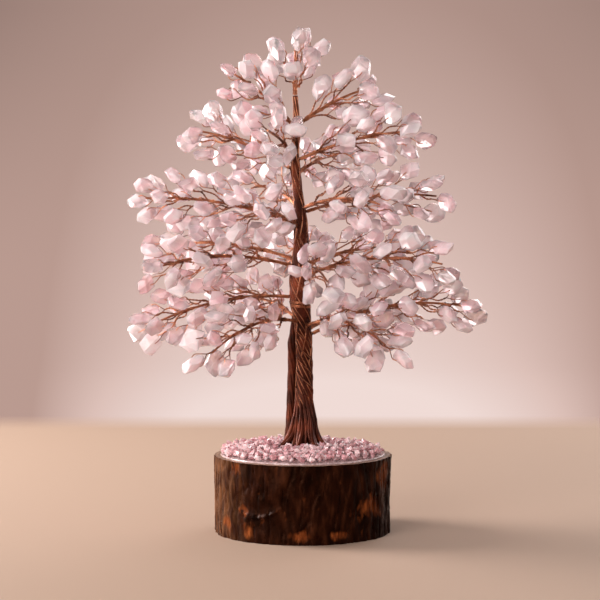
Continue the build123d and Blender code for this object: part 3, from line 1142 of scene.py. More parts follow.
@dataclass
class BrokenChips:
    """Stones or gravel chips with broken flats and worn edges, each cut from the frame's solid."""

    node: str
    name: str
    body: str
    slot: Slot
    wear: ChipWear
    first_index: int = 0
    merge_distance: float = 1e-7
    flats_weight: int = 60

    def corners(self, mesh: Mesh) -> list[list[Vector]]:
        """Find the separate solids of a node.

        Args:
            mesh: The node's mesh.

        Returns:
            The corners of each solid.
        """
        work = bmesh.new()
        work.from_mesh(mesh)
        bmesh.ops.remove_doubles(work, verts=work.verts, dist=self.merge_distance)
        seen: set[bmesh.types.BMVert] = set()
        solids = []
        for vert in work.verts:
            if vert in seen:
                continue
            seen.add(vert)
            stack = [vert]
            found = []
            while stack:
                here = stack.pop()
                found.append(here.co.copy())
                for edge in here.link_edges:
                    there = edge.other_vert(here)
                    if there not in seen:
                        seen.add(there)
                        stack.append(there)
            solids.append(found)
        work.free()
        return solids

    def broken(self, corners: Sequence[Vector], index: int) -> list[Vector]:
        """Break flats off a solid's outline and its faces.

        Args:
            corners: The solid's corners.
            index: Which of the tree's chips it is.

        Returns:
            The corners that are left.
        """
        wear = self.wear
        chip = hull_of(corners)
        long_way, wide_way, thin_way = chip_ways([vert.co for vert in chip.verts])
        breaks = wear.edge_breaks + wear.face_breaks
        for number in range(breaks):
            pick = index * breaks + number
            turn = TURN * (number / wear.edge_breaks + wear.turn_scatter * vary(pick, ROLL_SHARE))
            outward = off_line((long_way, wide_way), turn + index * math.radians(GOLDEN_ANGLE))
            if number < wear.edge_breaks:
                square = outward + thin_way * (vary(pick, TILT_SHARE) - 0.5)
                depth = wear.edge_depth
            else:
                square = thin_way * (1 if number % 2 else -1) + outward * wear.face_lean
                depth = wear.face_depth
            square.normalize()
            middle = sum((vert.co for vert in chip.verts), Vector()) / len(chip.verts)
            reach = max((vert.co - middle).dot(square) for vert in chip.verts)
            share = 1 - depth * between(wear.least_break, 1.0, vary(pick, SIZE_SHARE))
            bmesh.ops.bisect_plane(
                chip,
                geom=[*chip.verts, *chip.edges, *chip.faces],
                plane_co=middle + square * reach * share,
                plane_no=square,
                clear_outer=True,
            )
        found = [vert.co.copy() for vert in chip.verts]
        chip.free()
        return found

    def worn(self, corners: Sequence[Vector]) -> bmesh.types.BMesh:
        """Join a chip's flats and wear its edges.

        Args:
            corners: The chip's corners.

        Returns:
            The chip.
        """
        chip = hull_of(corners)
        flat = math.radians(self.wear.flatness)
        bmesh.ops.dissolve_limit(chip, angle_limit=flat, verts=chip.verts, edges=chip.edges)
        if self.wear.rounding:
            bmesh.ops.bevel(
                chip,
                geom=list(chip.edges),
                offset=self.wear.rounding * MM,
                offset_type="OFFSET",
                segments=1,
                profile=0.5,
                affect="EDGES",
                clamp_overlap=True,
                material=-1,
            )
        bmesh.ops.recalc_face_normals(chip, faces=chip.faces)
        return chip

    def build(self, finishes: Finishes, nodes: Mapping[str, Piece]) -> Piece:
        """Make all the node's chips one piece, each with its own tint.

        Args:
            finishes: The tree's materials.
            nodes: The frame's nodes.

        Returns:
            The piece.
        """
        chips = []
        for index, corners in enumerate(self.corners(nodes[self.node].data), self.first_index):
            chips.append((self.worn(self.broken(corners, index)), vary(index, SIZE_SHARE)))
        mesh = joined_chips(self.name, chips)
        obj = new_object(self.name, mesh, (finishes.made[self.slot],))
        if self.wear.rounding:
            obj.modifiers.new("flats", "WEIGHTED_NORMAL").weight = self.flats_weight
        else:
            mesh.shade_flat()
        return finish_piece(obj, self.body, [self.node])


@dataclass
class WoundPiece:
    """A piece of the trunk that is laid from strands, in millimetres and degrees."""

    line: TrunkLine
    name: str = ""
    node: str = ""
    slot: Slot = Slot.TRUNK
    sides: int = 2
    step: float = 2.2
    foot_lift: float = 0.2

    def lay(self, bundle: StrandBundle) -> None:
        """Lay the piece's strands in a bundle."""
        raise NotImplementedError

    def heights(self, low: float, high: float) -> list[float]:
        """Return even heights from low to high."""
        count = int((high - low) / self.step)
        return [low + (high - low) * k / count for k in range(count + 1)]

    def beside(self, height: float, azimuth: float, out: float) -> Vector:
        """Return a place that stands off the trunk's surface."""
        centre, radius = self.line.at(height)
        return centre + around(azimuth, radius + out)

    def build(self, finishes: Finishes) -> Piece:
        """Make the piece on the root body.

        Args:
            finishes: The tree's materials.

        Returns:
            The piece.
        """
        bundle = StrandBundle(self.name, self.sides)
        self.lay(bundle)
        made = bundle.build((finishes.made[Slot.TRUNK], finishes.made[Slot.COPPER]))
        return finish_piece(made, ROOT_BODY, [self.node] if self.node else [])


@dataclass(frozen=True)
class FineWires:
    """Single wires over the trunk's strands: each pair is the least of a measure and its range."""

    count: int
    scatter: float
    low: tuple[float, float]
    length: tuple[float, float] | None
    drift: float
    wave: float
    pitch: float
    out: float
    radius: float


LOWER_WIRES = FineWires(
    count=13,
    scatter=14.0,
    low=(6.0, 34.0),
    length=(62.0, 46.0),
    drift=9.0,
    wave=0.11,
    pitch=66.0,
    out=0.22,
    radius=0.24,
)
UPPER_WIRES = FineWires(
    count=6,
    scatter=0.0,
    low=(112.0, 40.0),
    length=None,
    drift=12.0,
    wave=0.09,
    pitch=78.0,
    out=0.08,
    radius=0.288,
)


@dataclass
class TrunkBundle(WoundPiece):
    """The wound trunk: strands side by side round a core, and fine wires over them."""

    name: str = "trunk_wound"
    node: str = "trunk_bundle"
    strands: int = 19
    pitch: float = 78.0
    strand_share: float = 0.22
    thickest: float = 1.05
    sink: float = 0.86
    uneven: float = 0.035
    uneven_wave: float = 0.21
    uneven_shift: float = 2.3
    core_share: float = 0.80
    upper_end: float = 0.9

    def lay(self, bundle: StrandBundle) -> None:
        """Lay the strands, all winding the same way, the core and the fine wires.

        Args:
            bundle: Where the strands go.
        """
        levels = self.heights(self.line.foot + self.foot_lift, self.line.top)
        sections = [self.line.at(level) for level in levels]
        thick = [min(radius * self.strand_share, self.thickest) for _, radius in sections]
        for strand in range(self.strands):
            points = []
            for level, (centre, radius), size in zip(levels, sections, thick):
                azimuth = 360 * strand / self.strands - 360 * level / self.pitch
                wave = math.sin(level * self.uneven_wave + strand * self.uneven_shift)
                stand = (radius - size * self.sink) * (1 + self.uneven * wave)
                points.append(centre + around(azimuth, stand))
            bundle.add(points, thick, Strand.DARK)
        core = [radius * self.core_share for _, radius in sections]
        bundle.add([centre for centre, _ in sections], core, Strand.DARK)
        for wires in (LOWER_WIRES, UPPER_WIRES):
            self.fine_wires(bundle, wires)

    def fine_wires(self, bundle: StrandBundle, wires: FineWires) -> None:
        """Lay single wires over the strands, each between two heights.

        Args:
            bundle: Where the wires go.
            wires: Their sizes.
        """
        for wire in range(wires.count):
            start = 360.0 * wire / wires.count + wires.scatter * vary(wire, ROLL_SHARE)
            low = wires.low[0] + wires.low[1] * vary(wire, SIZE_SHARE)
            high = self.line.top - self.upper_end
            if wires.length:
                high = low + wires.length[0] + wires.length[1] * vary(wire, TILT_SHARE)
            points = []
            for level in self.heights(low, high):
                drift = wires.drift * math.sin(level * wires.wave + start)
                points.append(self.beside(level, start + drift - 360 * level / wires.pitch, wires.out))
            bundle.add(points, wires.radius, Strand.COPPER)


@dataclass
class SideStem(WoundPiece):
    """The second stem, which lies against the lower trunk and is drawn in to a tip."""

    name: str = "side_stem_wound"
    node: str = "trunk_side_stem"
    azimuth: float = 160.0
    radius: float = 2.7
    top: float = 80.0
    gap: float = 0.15
    lean: float = 15.0
    tip_share: float = 0.35
    tuck: float = 1.2
    strands: int = 6
    pitch: float = 64.0
    ring_share: float = 0.56
    strand_share: float = 0.46

    def lay(self, bundle: StrandBundle) -> None:
        """Lay the stem's strands.

        Args:
            bundle: Where the strands go.
        """
        levels = self.heights(self.line.foot + self.foot_lift, self.top)
        lefts = [min((self.top - level) / self.lean, 1.0) for level in levels]
        tapers = [between(self.tip_share, 1.0, left) for left in lefts]
        for strand in range(self.strands):
            points = []
            for level, taper in zip(levels, tapers):
                out = self.radius * taper + self.gap - self.tuck * (1 - taper)
                azimuth = 360 * strand / self.strands - 360 * level / self.pitch
                ring = around(azimuth, self.radius * self.ring_share * taper)
                points.append(self.beside(level, self.azimuth, out) + ring)
            radii = [self.radius * self.strand_share * taper for taper in tapers]
            bundle.add(points, radii, Strand.DARK)


@dataclass
class Roots(WoundPiece):
    """The roots that run down the trunk and spread over the glue, with lesser ones between them."""

    name: str = "roots_wound"
    node: str = "root_toes"
    azimuths: tuple[float, ...] = (212.0, 256.0, 300.0, 344.0, 36.0, 92.0)
    lesser_azimuths: tuple[float, ...] = (234.0, 278.0, 322.0, 10.0, 64.0, 118.0)
    largest: float = 1.06
    size_range: float = 0.2
    lesser_size: float = 0.66
    rise: float = 17.0
    spread: float = 8.2
    top: float = 1.3
    middle: float = 2.3
    toe: float = 1.4
    toe_lift: float = 0.05
    gap: float = 0.4
    curl: float = 2.3
    fall: float = 1.3
    climb: float = 14.0
    climb_steps: int = 8
    climb_turn: float = 24.0
    climb_curve: float = 1.5
    climb_thinning: float = 0.72
    climb_sink: float = 0.35
    steps: int = 14
    strands: int = 3
    twist: float = 1.6
    ring_share: float = 0.46
    strand_share: float = 0.58

    def place(self, azimuth: float, share: float) -> tuple[Vector, float]:
        """Find a root at a share of its length.

        Args:
            azimuth: Where round the trunk the root spreads to.
            share: How far down it is, from 0 to 1.

        Returns:
            The root's centre and radius.
        """
        top, top_radius = self.line.at(self.line.foot + self.rise)
        toe = self.toe + self.toe_lift
        height = toe + (self.rise - toe) * (1 - share) ** self.fall
        out = top_radius + self.top + self.gap + self.spread * share**self.curl
        swell = self.middle - (self.top + self.toe) / 2
        radius = between(self.top, self.toe, share) + swell * hump(share)
        centre = Vector((top.x, 0.0, LOG_HEIGHT + self.line.foot + height))
        return centre + around(azimuth, out), radius

    def rings(self, azimuth: float, size: float) -> list[tuple[Vector, float]]:
        """Follow one root from up on the trunk to its toe.

        Args:
            azimuth: Where round the trunk the root spreads to.
            size: Its thickness and its spread, as a share of a full root's.

        Returns:
            Its centre and radius at each step.
        """
        found = []
        for k in range(self.climb_steps, 0, -1):
            share = k / self.climb_steps
            stand = (self.top + self.gap) * (1 - share) ** self.climb_curve
            level = self.line.foot + self.rise + self.climb * share
            turned = azimuth - self.climb_turn * share * share
            centre = self.beside(level, turned, stand - self.climb_sink)
            found.append((centre, self.top * (1 - self.climb_thinning * share)))
        for k in range(self.steps + 1):
            share = k / self.steps
            centre, radius = self.place(azimuth, share)
            axis, _ = self.line.at(centre.z - LOG_HEIGHT)
            found.append((axis + (centre - axis) * (1 - (1 - size) * share), radius * size))
        return found

    def run(self, bundle: StrandBundle, azimuth: float, size: float, start: float) -> None:
        """Lay one root's strands.

        Args:
            bundle: Where the strands go.
            azimuth: Where round the trunk the root spreads to.
            size: Its thickness and its spread, as a share of a full root's.
            start: The angle that its strands start at, in radians.
        """
        rings = self.rings(azimuth, size)
        frames = line_frames([centre for centre, _ in rings])
        for strand in range(self.strands):
            points = []
            for k, ((centre, radius), frame) in enumerate(zip(rings, frames)):
                angle = TURN * strand / self.strands + start + self.twist * k / self.steps
                points.append(centre + off_line(frame, angle, radius * self.ring_share))
            bundle.add(points, [radius * self.strand_share for _, radius in rings], Strand.DARK)

    def lay(self, bundle: StrandBundle) -> None:
        """Lay the roots, and the lesser ones between them.

        Args:
            bundle: Where the strands go.
        """
        for root, azimuth in enumerate(self.azimuths):
            size = self.largest - self.size_range * vary(root, SIZE_SHARE)
            self.run(bundle, azimuth, size, float(root))
        for root, azimuth in enumerate(self.lesser_azimuths):
            self.run(bundle, azimuth, self.lesser_size, root + 0.5)


@dataclass
class Wraps(WoundPiece):
    """The wraps wound down the lower trunk, each three fine wires side by side."""

    name: str = "trunk_wraps"
    node: str = "wrap_wires"
    slot: Slot = Slot.COPPER
    sides: int = 1
    count: int = 4
    top: float = 73.0
    spacing: float = 8.0
    drop: float = 22.0
    start: float = 196.0
    turn: float = 284.0
    out: float = 0.42
    radius: float = 0.24
    wire_gap: float = 0.62
    waver: float = 0.25
    waves: float = 9.0
    wave_shift: float = 2.0
    steps: int = 48

    def lay(self, bundle: StrandBundle) -> None:
        """Lay each wrap's wires, the middle one bare copper.

        Args:
            bundle: Where the wires go.
        """
        for wrap in range(self.count):
            for strand in (-1, 0, 1):
                points = []
                for k in range(self.steps + 1):
                    share = k / self.steps
                    level = self.top - self.spacing * wrap - self.drop * share
                    waver = self.waver * math.sin(self.waves * share + strand * self.wave_shift + wrap)
                    place = self.beside(level, self.start + self.turn * share, self.out)
                    points.append(place + UP * (strand * self.wire_gap + waver))
                bundle.add(points, self.radius, Strand.DARK if strand else Strand.COPPER)


@dataclass
class Feeders(WoundPiece):
    """The wires that leave the trunk for each branch and end at its root."""

    name: str = "branch_feeders"
    slot: Slot = Slot.COPPER
    sides: int = 1
    branches: Sequence[BranchLine] = ()
    strands: int = 4
    drop: float = 9.0
    drop_step: float = 3.0
    fan: float = 16.0
    low_turn: float = 30.0
    low_out: float = -0.1
    middle_share: float = 0.45
    middle_fan: float = 0.6
    middle_turn: float = 8.0
    middle_out: float = 0.25
    ring: float = 0.6
    bend: float = 1.2
    radius: float = 0.42
    steps: int = 6
    root_step: float = 0.03

    def lay(self, bundle: StrandBundle) -> None:
        """Lay each branch's wires, the last one bare copper.

        Args:
            bundle: Where the wires go.
        """
        for line in self.branches:
            if line.upright:
                continue
            root, _ = line.ends()
            way = (line.stem(self.root_step) - line.stem(0.0)).normalized()
            azimuth = line.branch.azimuth
            for strand in range(self.strands):
                drop = self.drop + self.drop_step * strand
                fan = self.fan * (strand - (self.strands - 1) / 2)
                start = self.beside(line.branch.root - drop, azimuth - fan - self.low_turn, self.low_out)
                middle_azimuth = azimuth - fan * self.middle_fan - self.middle_turn
                middle_height = line.branch.root - drop * self.middle_share
                middle = self.beside(middle_height, middle_azimuth, self.middle_out)
                end = root + off_line(across(way), TURN * (strand + 0.5) / self.strands, self.ring)
                run = smooth_line([start, middle, end - way * self.bend, end], self.steps)
                kind = Strand.COPPER if strand == self.strands - 1 else Strand.DARK
                bundle.add(run, self.radius, kind)


@dataclass
class Binding(WoundPiece):
    """The binding under the branches: two wires side by side, slanted over the front."""

    name: str = "binding_wound"
    node: str = "binding_wire"
    slot: Slot = Slot.COPPER
    sides: int = 1
    height: float = 84.8
    pitch: float = 2.0
    start: float = 200.0
    turn: float = 540.0
    slant: float = 0.8
    wire_gap: float = 0.75
    out: float = 0.5
    radius: float = 0.38
    steps: int = 60

    def lay(self, bundle: StrandBundle) -> None:
        """Lay the two wires.

        Args:
            bundle: Where the wires go.
        """
        for strand in (0, 1):
            points = []
            for k in range(self.steps + 1):
                turn = self.turn * k / self.steps
                azimuth = self.start + turn
                level = self.height + self.pitch * turn / 360 + self.wire_gap * strand
                level -= self.slant * math.cos(math.radians(azimuth))
                points.append(self.beside(level, azimuth, self.out))
            bundle.add(points, self.radius, Strand.COPPER)


@dataclass(frozen=True)
class BarkGrain:
    """How a noise lies in the bark: its scale across and along the log, and its seed."""

    across: float
    along: float
    seed: float = 0.0

    def spot(self, place: Vector, level: float) -> Vector:
        """Return where the noise is read for a place on the bark."""
        return Vector((place.x * self.across, place.y * self.across, level * self.along + self.seed))


@dataclass
class LogBase:
    """The log slice: bark with furrows, a scar and peeled patches, sawn wood and the glue.

    Each peeled patch is its azimuth, its height, and its half width and half height in millimetres.
    A fractal is its roughness, its gap between octaves and their number.
    """

    top_radius: float = 51.0
    foot_radius: float = 50.7
    thickness: float = 3.0
    foot_inset: float = 1.0
    wall_inset: float = 0.15
    rim_inset: float = 1.4
    inner_band: float = 0.5
    sawn_share: float = 0.999
    sharp_angle: float = 50.0
    rings: int = 64
    around_count: int = 400
    merge_distance: float = 1e-6
    ridges: BarkGrain = BarkGrain(0.16, 0.05)
    ridge_fractal: tuple[float, float, int] = (0.9, 2.1, 5)
    ridge_height: float = 0.7
    lumps: BarkGrain = BarkGrain(0.04, 0.03, 7.0)
    lump_height: float = 0.6
    splits: BarkGrain = BarkGrain(0.24, 0.035, 3.0)
    split_width: float = 0.11
    split_depth: float = 0.7
    scar_azimuth: float = 239.0
    scar_height: float = 37.0
    scar_radius: float = 22.5
    scar_angle: float = 0.95
    lip_height: float = 1.2
    lip_width: float = 0.8
    hollow_depth: float = 0.8
    hollow_width: float = 4.5
    peel_depth: float = 0.6
    peel_edge: float = 1.25
    ragged: float = 0.55
    ragged_scale: tuple[float, float, float] = (0.16, 0.10, 3.1)
    ragged_fractal: tuple[float, float, int] = (0.8, 2.0, 4)
    peels: tuple[tuple[float, float, float, float], ...] = (
        (222.0, 40.0, 6.0, 4.0),
        (213.0, 10.0, 5.0, 4.0),
        (234.0, 7.0, 4.0, 6.0),
        (229.0, 17.0, 4.5, 3.5),
        (267.0, 5.0, 8.0, 3.5),
        (296.0, 5.0, 8.0, 3.0),
        (318.0, 19.0, 14.0, 8.0),
        (337.0, 36.0, 11.0, 9.0),
        (20.0, 16.0, 13.0, 8.0),
        (80.0, 28.0, 11.0, 8.0),
        (130.0, 12.0, 14.0, 6.0),
        (165.0, 30.0, 9.0, 7.0),
    )

    def along(self, azimuth: float, middle: float) -> float:
        """Return how far round the bark a place is from another, in millimetres."""
        turn = (azimuth - middle + 180.0) % 360.0 - 180.0
        return math.radians(turn) * self.top_radius

    def peel(self, azimuth: float, level: float) -> float:
        """Find how far the bark has peeled at a place.

        Args:
            azimuth: The place's azimuth.
            level: Its height.

        Returns:
            From 0 for whole bark to 1 for bare wood.
        """
        most = 0.0
        for middle, height, width, tall in self.peels:
            wide = self.along(azimuth, middle) / width
            high = (level - height) / tall
            most = max(most, self.peel_edge - math.hypot(wide, high))
        turned, raised, seed = self.ragged_scale
        spot = Vector((azimuth * turned, level * raised, seed))
        ragged = self.ragged * noise.fractal(spot, *self.ragged_fractal)
        return min(max(most + ragged, 0.0), 1.0)

    def scar(self, azimuth: float, level: float) -> float:
        """Find the relief of an old branch scar, a lip under a shallow hollow.

        Args:
            azimuth: The place's azimuth.
            level: Its height.

        Returns:
            The relief outwards, in millimetres.
        """
        beside = self.along(azimuth, self.scar_azimuth)
        below = self.scar_height - level
        share = 1 - (math.atan2(beside, below) / self.scar_angle) ** 2
        if share <= 0:
            return 0.0
        past = math.hypot(beside, below) - self.scar_radius
        lip = self.lip_height * math.exp(-((past / self.lip_width) ** 2))
        hollow = max(1 - abs(past + self.hollow_width) / self.hollow_width, 0.0)
        return share * (lip - self.hollow_depth * hollow)

    def relief(self, azimuth: float, level: float) -> float:
        """Find the bark's whole relief at a place.

        Args:
            azimuth: The place's azimuth.
            level: Its height.

        Returns:
            The relief outwards, in millimetres.
        """
        place = around(azimuth, self.top_radius)
        raised = self.ridge_height * noise.fractal(self.ridges.spot(place, level), *self.ridge_fractal)
        raised += self.lump_height * noise.noise(self.lumps.spot(place, level))
        split = abs(noise.noise(self.splits.spot(place, level)))
        raised -= self.split_depth * max(1 - split / self.split_width, 0.0)
        return raised - self.peel_depth * self.peel(azimuth, level) + self.scar(azimuth, level)

    def shell(self) -> bmesh.types.BMesh:
        """Turn the bark's plain shell.

        Returns:
            The closed shell, with its sawn top in the second finish.
        """
        inner = self.top_radius - self.thickness
        profile = [(inner, 0.0), (self.foot_radius - self.foot_inset, 0.0)]
        for k in range(self.rings + 1):
            share = k / self.rings
            radius = between(self.foot_radius, self.top_radius, share)
            profile.append((radius - self.wall_inset, LOG_HEIGHT * share))
        profile.append((self.top_radius - self.rim_inset, LOG_HEIGHT))
        profile.append((inner, LOG_HEIGHT))
        bark = bmesh.new()
        verts = [bark.verts.new((radius * MM, 0.0, level * MM)) for radius, level in profile]
        loop = verts + [verts[0]]
        edges = [bark.edges.new(pair) for pair in zip(loop, loop[1:])]
        bmesh.ops.spin(
            bark,
            geom=verts + edges,
            cent=(0.0, 0.0, 0.0),
            axis=UP,
            angle=TURN,
            steps=self.around_count,
            use_merge=True,
        )
        bmesh.ops.remove_doubles(bark, verts=bark.verts, dist=self.merge_distance)
        bmesh.ops.recalc_face_normals(bark, faces=bark.faces)
        sawn = LOG_HEIGHT * MM * self.sawn_share
        for face in bark.faces:
            face.material_index = int(face.calc_center_median().z > sawn)
        return bark

    def roughen(self, bark: bmesh.types.BMesh) -> None:
        """Give the shell its relief, and store where it has peeled.

        Args:
            bark: The plain shell.
        """
        peel = bark.verts.layers.float.new("peel")
        inner = self.top_radius - self.thickness + self.inner_band
        for vert in bark.verts:
            if math.hypot(vert.co.x, vert.co.y) / MM < inner:
                continue
            azimuth = math.degrees(math.atan2(vert.co.y, vert.co.x)) % 360.0
            level = vert.co.z / MM
            vert[peel] = self.peel(azimuth, level)
            vert.co += around(azimuth, self.relief(azimuth, level) * MM)

    def build(self, finishes: Finishes, nodes: Mapping[str, Piece]) -> None:
        """Make the bark, and dress the wood and the glue.

        Args:
            finishes: The tree's materials.
            nodes: The frame's nodes.
        """
        bark = self.shell()
        self.roughen(bark)
        mesh = made_mesh("bark_ridged", bark)
        obj = new_object("bark_ridged", mesh, (finishes.made[Slot.BARK], finishes.made[Slot.WOOD]))
        mesh.set_sharp_from_angle(angle=math.radians(self.sharp_angle))
        finish_piece(obj, ROOT_BODY, ["base_bark"])
        finishes.dress_node(nodes["base_wood"], Slot.WOOD)
        finishes.dress_node(nodes["glue_bed"], Slot.GLUE)


@dataclass
class GlueBead:
    """The uneven bead where the glue has run to its edge, in millimetres."""

    ring: float = 46.6
    wander: float = 0.9
    lift: float = 0.25
    radius: float = 0.75
    swell: float = 0.35
    grain: float = 5.1
    seed: float = 2.0
    steps: int = 160

    def build(self, finishes: Finishes) -> Piece:
        """Make the bead on the root body.

        Args:
            finishes: The tree's materials.

        Returns:
            The piece.
        """
        points = []
        radii = []
        for k in range(self.steps + 1):
            azimuth = 360.0 * (k % self.steps) / self.steps
            uneven = noise.noise(around(azimuth, self.grain) + UP * self.seed)
            place = around(azimuth, self.ring + self.wander * uneven)
            points.append(place + UP * (LOG_HEIGHT + self.lift))
            radii.append(self.radius + self.swell * uneven)
        bead = StrandBundle("glue_bead")
        bead.add(points, radii, Strand.DARK)
        return finish_piece(bead.build((finishes.made[Slot.GLUE],)), ROOT_BODY)


@dataclass
class LooseGravel:
    """Smaller broken chips that fill the gaps and heap over the first layer, in millimetres."""

    inner: float = 10.5
    outer: float = 46.2
    count: int = 360
    corners: int = 9
    sizes: tuple[float, float] = (2.1, 3.4)
    heaps: tuple[float, float] = (1.2, 3.4)
    corner_reach: tuple[float, float] = (0.60, 1.20)
    squash: tuple[float, float, float] = (1.0, 0.84, 0.70)
    bed_crown: float = 20.0
    bed_edge: float = 46.5
    bed_heights: tuple[float, float] = (3.5, 0.8)
    first_azimuth: float = 61.0
    axis_step: float = 53.0
    corner_step: float = 47.0

    def bed(self, radius: float) -> float:
        """Return the glue's height over the log at a distance from the middle."""
        share = (radius - self.bed_crown) / (self.bed_edge - self.bed_crown)
        return between(*self.bed_heights, min(max(share, 0.0), 1.0))

    def chip(self, index: int) -> list[Vector]:
        """Break one chip.

        Args:
            index: Which of the chips it is.

        Returns:
            Its corners in their place, in metres.
        """
        share = (index + 0.5) / self.count
        radius = math.sqrt(between(self.inner**2, self.outer**2, share))
        size = between(*self.sizes, vary(index, SIZE_SHARE))
        place = around(index * GOLDEN_ANGLE + self.first_azimuth, radius)
        place.z = LOG_HEIGHT + self.bed(radius) + between(*self.heaps, vary(index, TILT_SHARE))
        axis = around(index * self.axis_step)
        turn = Matrix.Rotation(TURN * vary(index, ROLL_SHARE), 3, axis)
        found = []
        for corner in range(self.corners):
            rise = 1 - 2 * (corner + 0.5) / self.corners
            way = around(corner * GOLDEN_ANGLE + index * self.corner_step, math.sqrt(1 - rise * rise))
            way.z = rise
            reach = between(*self.corner_reach, vary(index * self.corners + corner, ROLL_SHARE))
            far = Vector(part * size * reach * squash for part, squash in zip(way, self.squash))
            found.append((place + turn @ far) * MM)
        return found

    def build(self, finishes: Finishes) -> Piece:
        """Make the loose chips one piece on the root body.

        Args:
            finishes: The tree's materials.

        Returns:
            The piece.
        """
        chips = [(hull_of(self.chip(index)), vary(index, ROLL_SHARE)) for index in range(self.count)]
        mesh = joined_chips("gravel_loose", chips)
        obj = new_object("gravel_loose", mesh, (finishes.made[Slot.GRAVEL],))
        mesh.shade_flat()
        return finish_piece(obj, ROOT_BODY)


@dataclass(frozen=True)
class Lamp:
    """One soft round lamp: its place and size in metres, and its power in watts."""

    name: str
    place: tuple[float, float, float]
    size: float
    power: float
    colour: Colour

    def hang(self, aim: Vector) -> None:
        """Hang the lamp.

        Args:
            aim: What it shines at.
        """
        data = bpy.data.lights.new(self.name, "AREA")
        data.shape = "DISK"
        data.size = self.size
        data.energy = self.power
        data.color = self.colour
        lamp = bpy.data.objects.new(self.name, data)
        lamp.location = self.place
        lamp.rotation_euler = (aim - Vector(self.place)).to_track_quat("-Z", "Y").to_euler()
        bpy.context.scene.collection.objects.link(lamp)


LAMPS = (
    Lamp("key_left", (-1.0, 0.30, 0.55), 0.6, 22.5, (1.0, 0.96, 0.95)),
    Lamp("back_right", (0.55, 0.85, 0.62), 0.9, 6.0, (1.0, 0.97, 0.97)),
    Lamp("fill_front", (-0.8, -1.2, 0.34), 0.9, 19.0, (1.0, 0.96, 0.96)),
)


@dataclass
class Sweep:
    """The plain floor and the backdrop behind it as one sweep of paper, in metres.

    How far back a place is counts its height too. The backdrop glows with painted light: it is palest
    low in the middle, falls off to both sides and upwards, and has painted shade towards its upper
    corners.
    """

    front: float = -2.6
    back: float = 1.1
    bend: float = 0.7
    bend_steps: int = 12
    top: float = 3.2
    half_width: float = 3.5
    floor_colour: Colour = (0.412, 0.285, 0.208)
    floor_roughness: float = 0.75
    # The backdrop's painted glow: palest low down, darker higher up and towards the sides.
    wall_low: Colour = (0.87, 0.71, 0.67)
    wall_middle: Colour = (0.72, 0.53, 0.48)
    wall_high: Colour = (0.49, 0.325, 0.28)
    wall_shares: tuple[float, float, float] = (0.25, 0.64, 1.0)
    floor_end: float = 0.50
    floor_fade: float = 0.10
    wall_end: float = 2.35
    sight_start: float = -1.0
    sight_reach: float = 10.0
    glow_side: float = 0.015
    glow_fall: float = 78.0
    glow_top: float = 2.6
    shade_start: float = 1.5
    shade_end: float = 2.3
    shade_middle: float = 0.10
    shade_corner: float = 0.36
    corner: float = 0.04

    def build(self) -> None:
        """Make the sweep."""
        profile = [(self.front, 0.0), (self.back, 0.0)]
        for step in range(1, self.bend_steps + 1):
            angle = math.pi / 2 * step / self.bend_steps
            run = self.back + self.bend * math.sin(angle)
            profile.append((run, self.bend * (1 - math.cos(angle))))
        profile.append((self.back + self.bend, self.top))
        sweep = bmesh.new()
        verts = [sweep.verts.new((-self.half_width, y, z)) for y, z in profile]
        edges = [sweep.edges.new(pair) for pair in zip(verts, verts[1:])]
        made = bmesh.ops.extrude_edge_only(sweep, edges=edges)
        moved = [part for part in made["geom"] if isinstance(part, bmesh.types.BMVert)]
        bmesh.ops.translate(sweep, verts=moved, vec=ASIDE * 2 * self.half_width)
        bmesh.ops.recalc_face_normals(sweep, faces=sweep.faces)
        new_object("studio_sweep", made_mesh("studio_sweep", sweep), (self.paper(),))

    def glow(self, shader: ShaderMaker, back: Socket) -> Socket:
        """Light the backdrop at its own colour, with a painted glow and painted shade.

        Args:
            shader: The paper's surface.
            back: How far back a place is.

        Returns:
            The backdrop's light.
        """
        place = shader.axes()
        sight = (self.sight_start, self.sight_start + self.sight_reach, 0.0, self.sight_reach)
        aside = shader.math(place["X"], shader.spread(place["Y"], *sight), "DIVIDE")
        aside = shader.spread(aside, -1.0, 1.0, -1.0 - self.glow_side, 1.0 - self.glow_side)
        aside = shader.math(aside, aside, "MULTIPLY")
        fall = shader.spread(back, 0.0, self.glow_top, self.glow_fall, 0.0)
        dim = shader.math(back, shader.math(aside, fall, "MULTIPLY"), "ADD")
        stops = tuple(zip(self.wall_shares, (self.wall_low, self.wall_middle, self.wall_high)))
        upper = shader.spread(back, self.shade_start, self.shade_end)
        upper = shader.math(upper, upper, "MULTIPLY")
        shade = shader.spread(aside, 0.0, self.corner, self.shade_middle, self.shade_corner)
        shade = shader.math(upper, shade, "MULTIPLY")
        glow = shader.add("ShaderNodeEmission")
        colour = shader.ramp(shader.spread(dim, self.floor_end, self.wall_end), stops)
        shader.link(colour, glow.inputs["Color"])
        shader.link(shader.spread(shade, 0.0, 1.0, start=1.0, end=0.0), glow.inputs["Strength"])
        return glow.outputs["Emission"]

    def paper(self) -> Material:
        """Make the paper: a plain floor, and a backdrop that is seen at its own colour.

        Returns:
            The material.
        """
        shader = ShaderMaker("pale_paper")
        shader.set(Base_Color=(*self.floor_colour, 1.0), Roughness=self.floor_roughness)
        place = shader.axes()
        back = shader.math(place["Y"], place["Z"], "ADD")
        rays = shader.add("ShaderNodeLightPath").outputs
        seen = shader.math(rays["Is Camera Ray"], rays["Is Glossy Ray"], "MAXIMUM")
        seen = shader.math(seen, rays["Is Transmission Ray"], "MAXIMUM")
        wall = shader.spread(back, self.floor_end, self.floor_end + self.floor_fade)
        joined = shader.add("ShaderNodeMixShader")
        share = shader.math(seen, wall, "MULTIPLY")
        parts = (share, shader.surface.outputs["BSDF"], self.glow(shader, back))
        for target, source in zip(joined.inputs, parts):
            shader.link(source, target)
        shader.link(joined.outputs["Shader"], shader.tree.nodes["Material Output"].inputs["Surface"])
        return shader.material


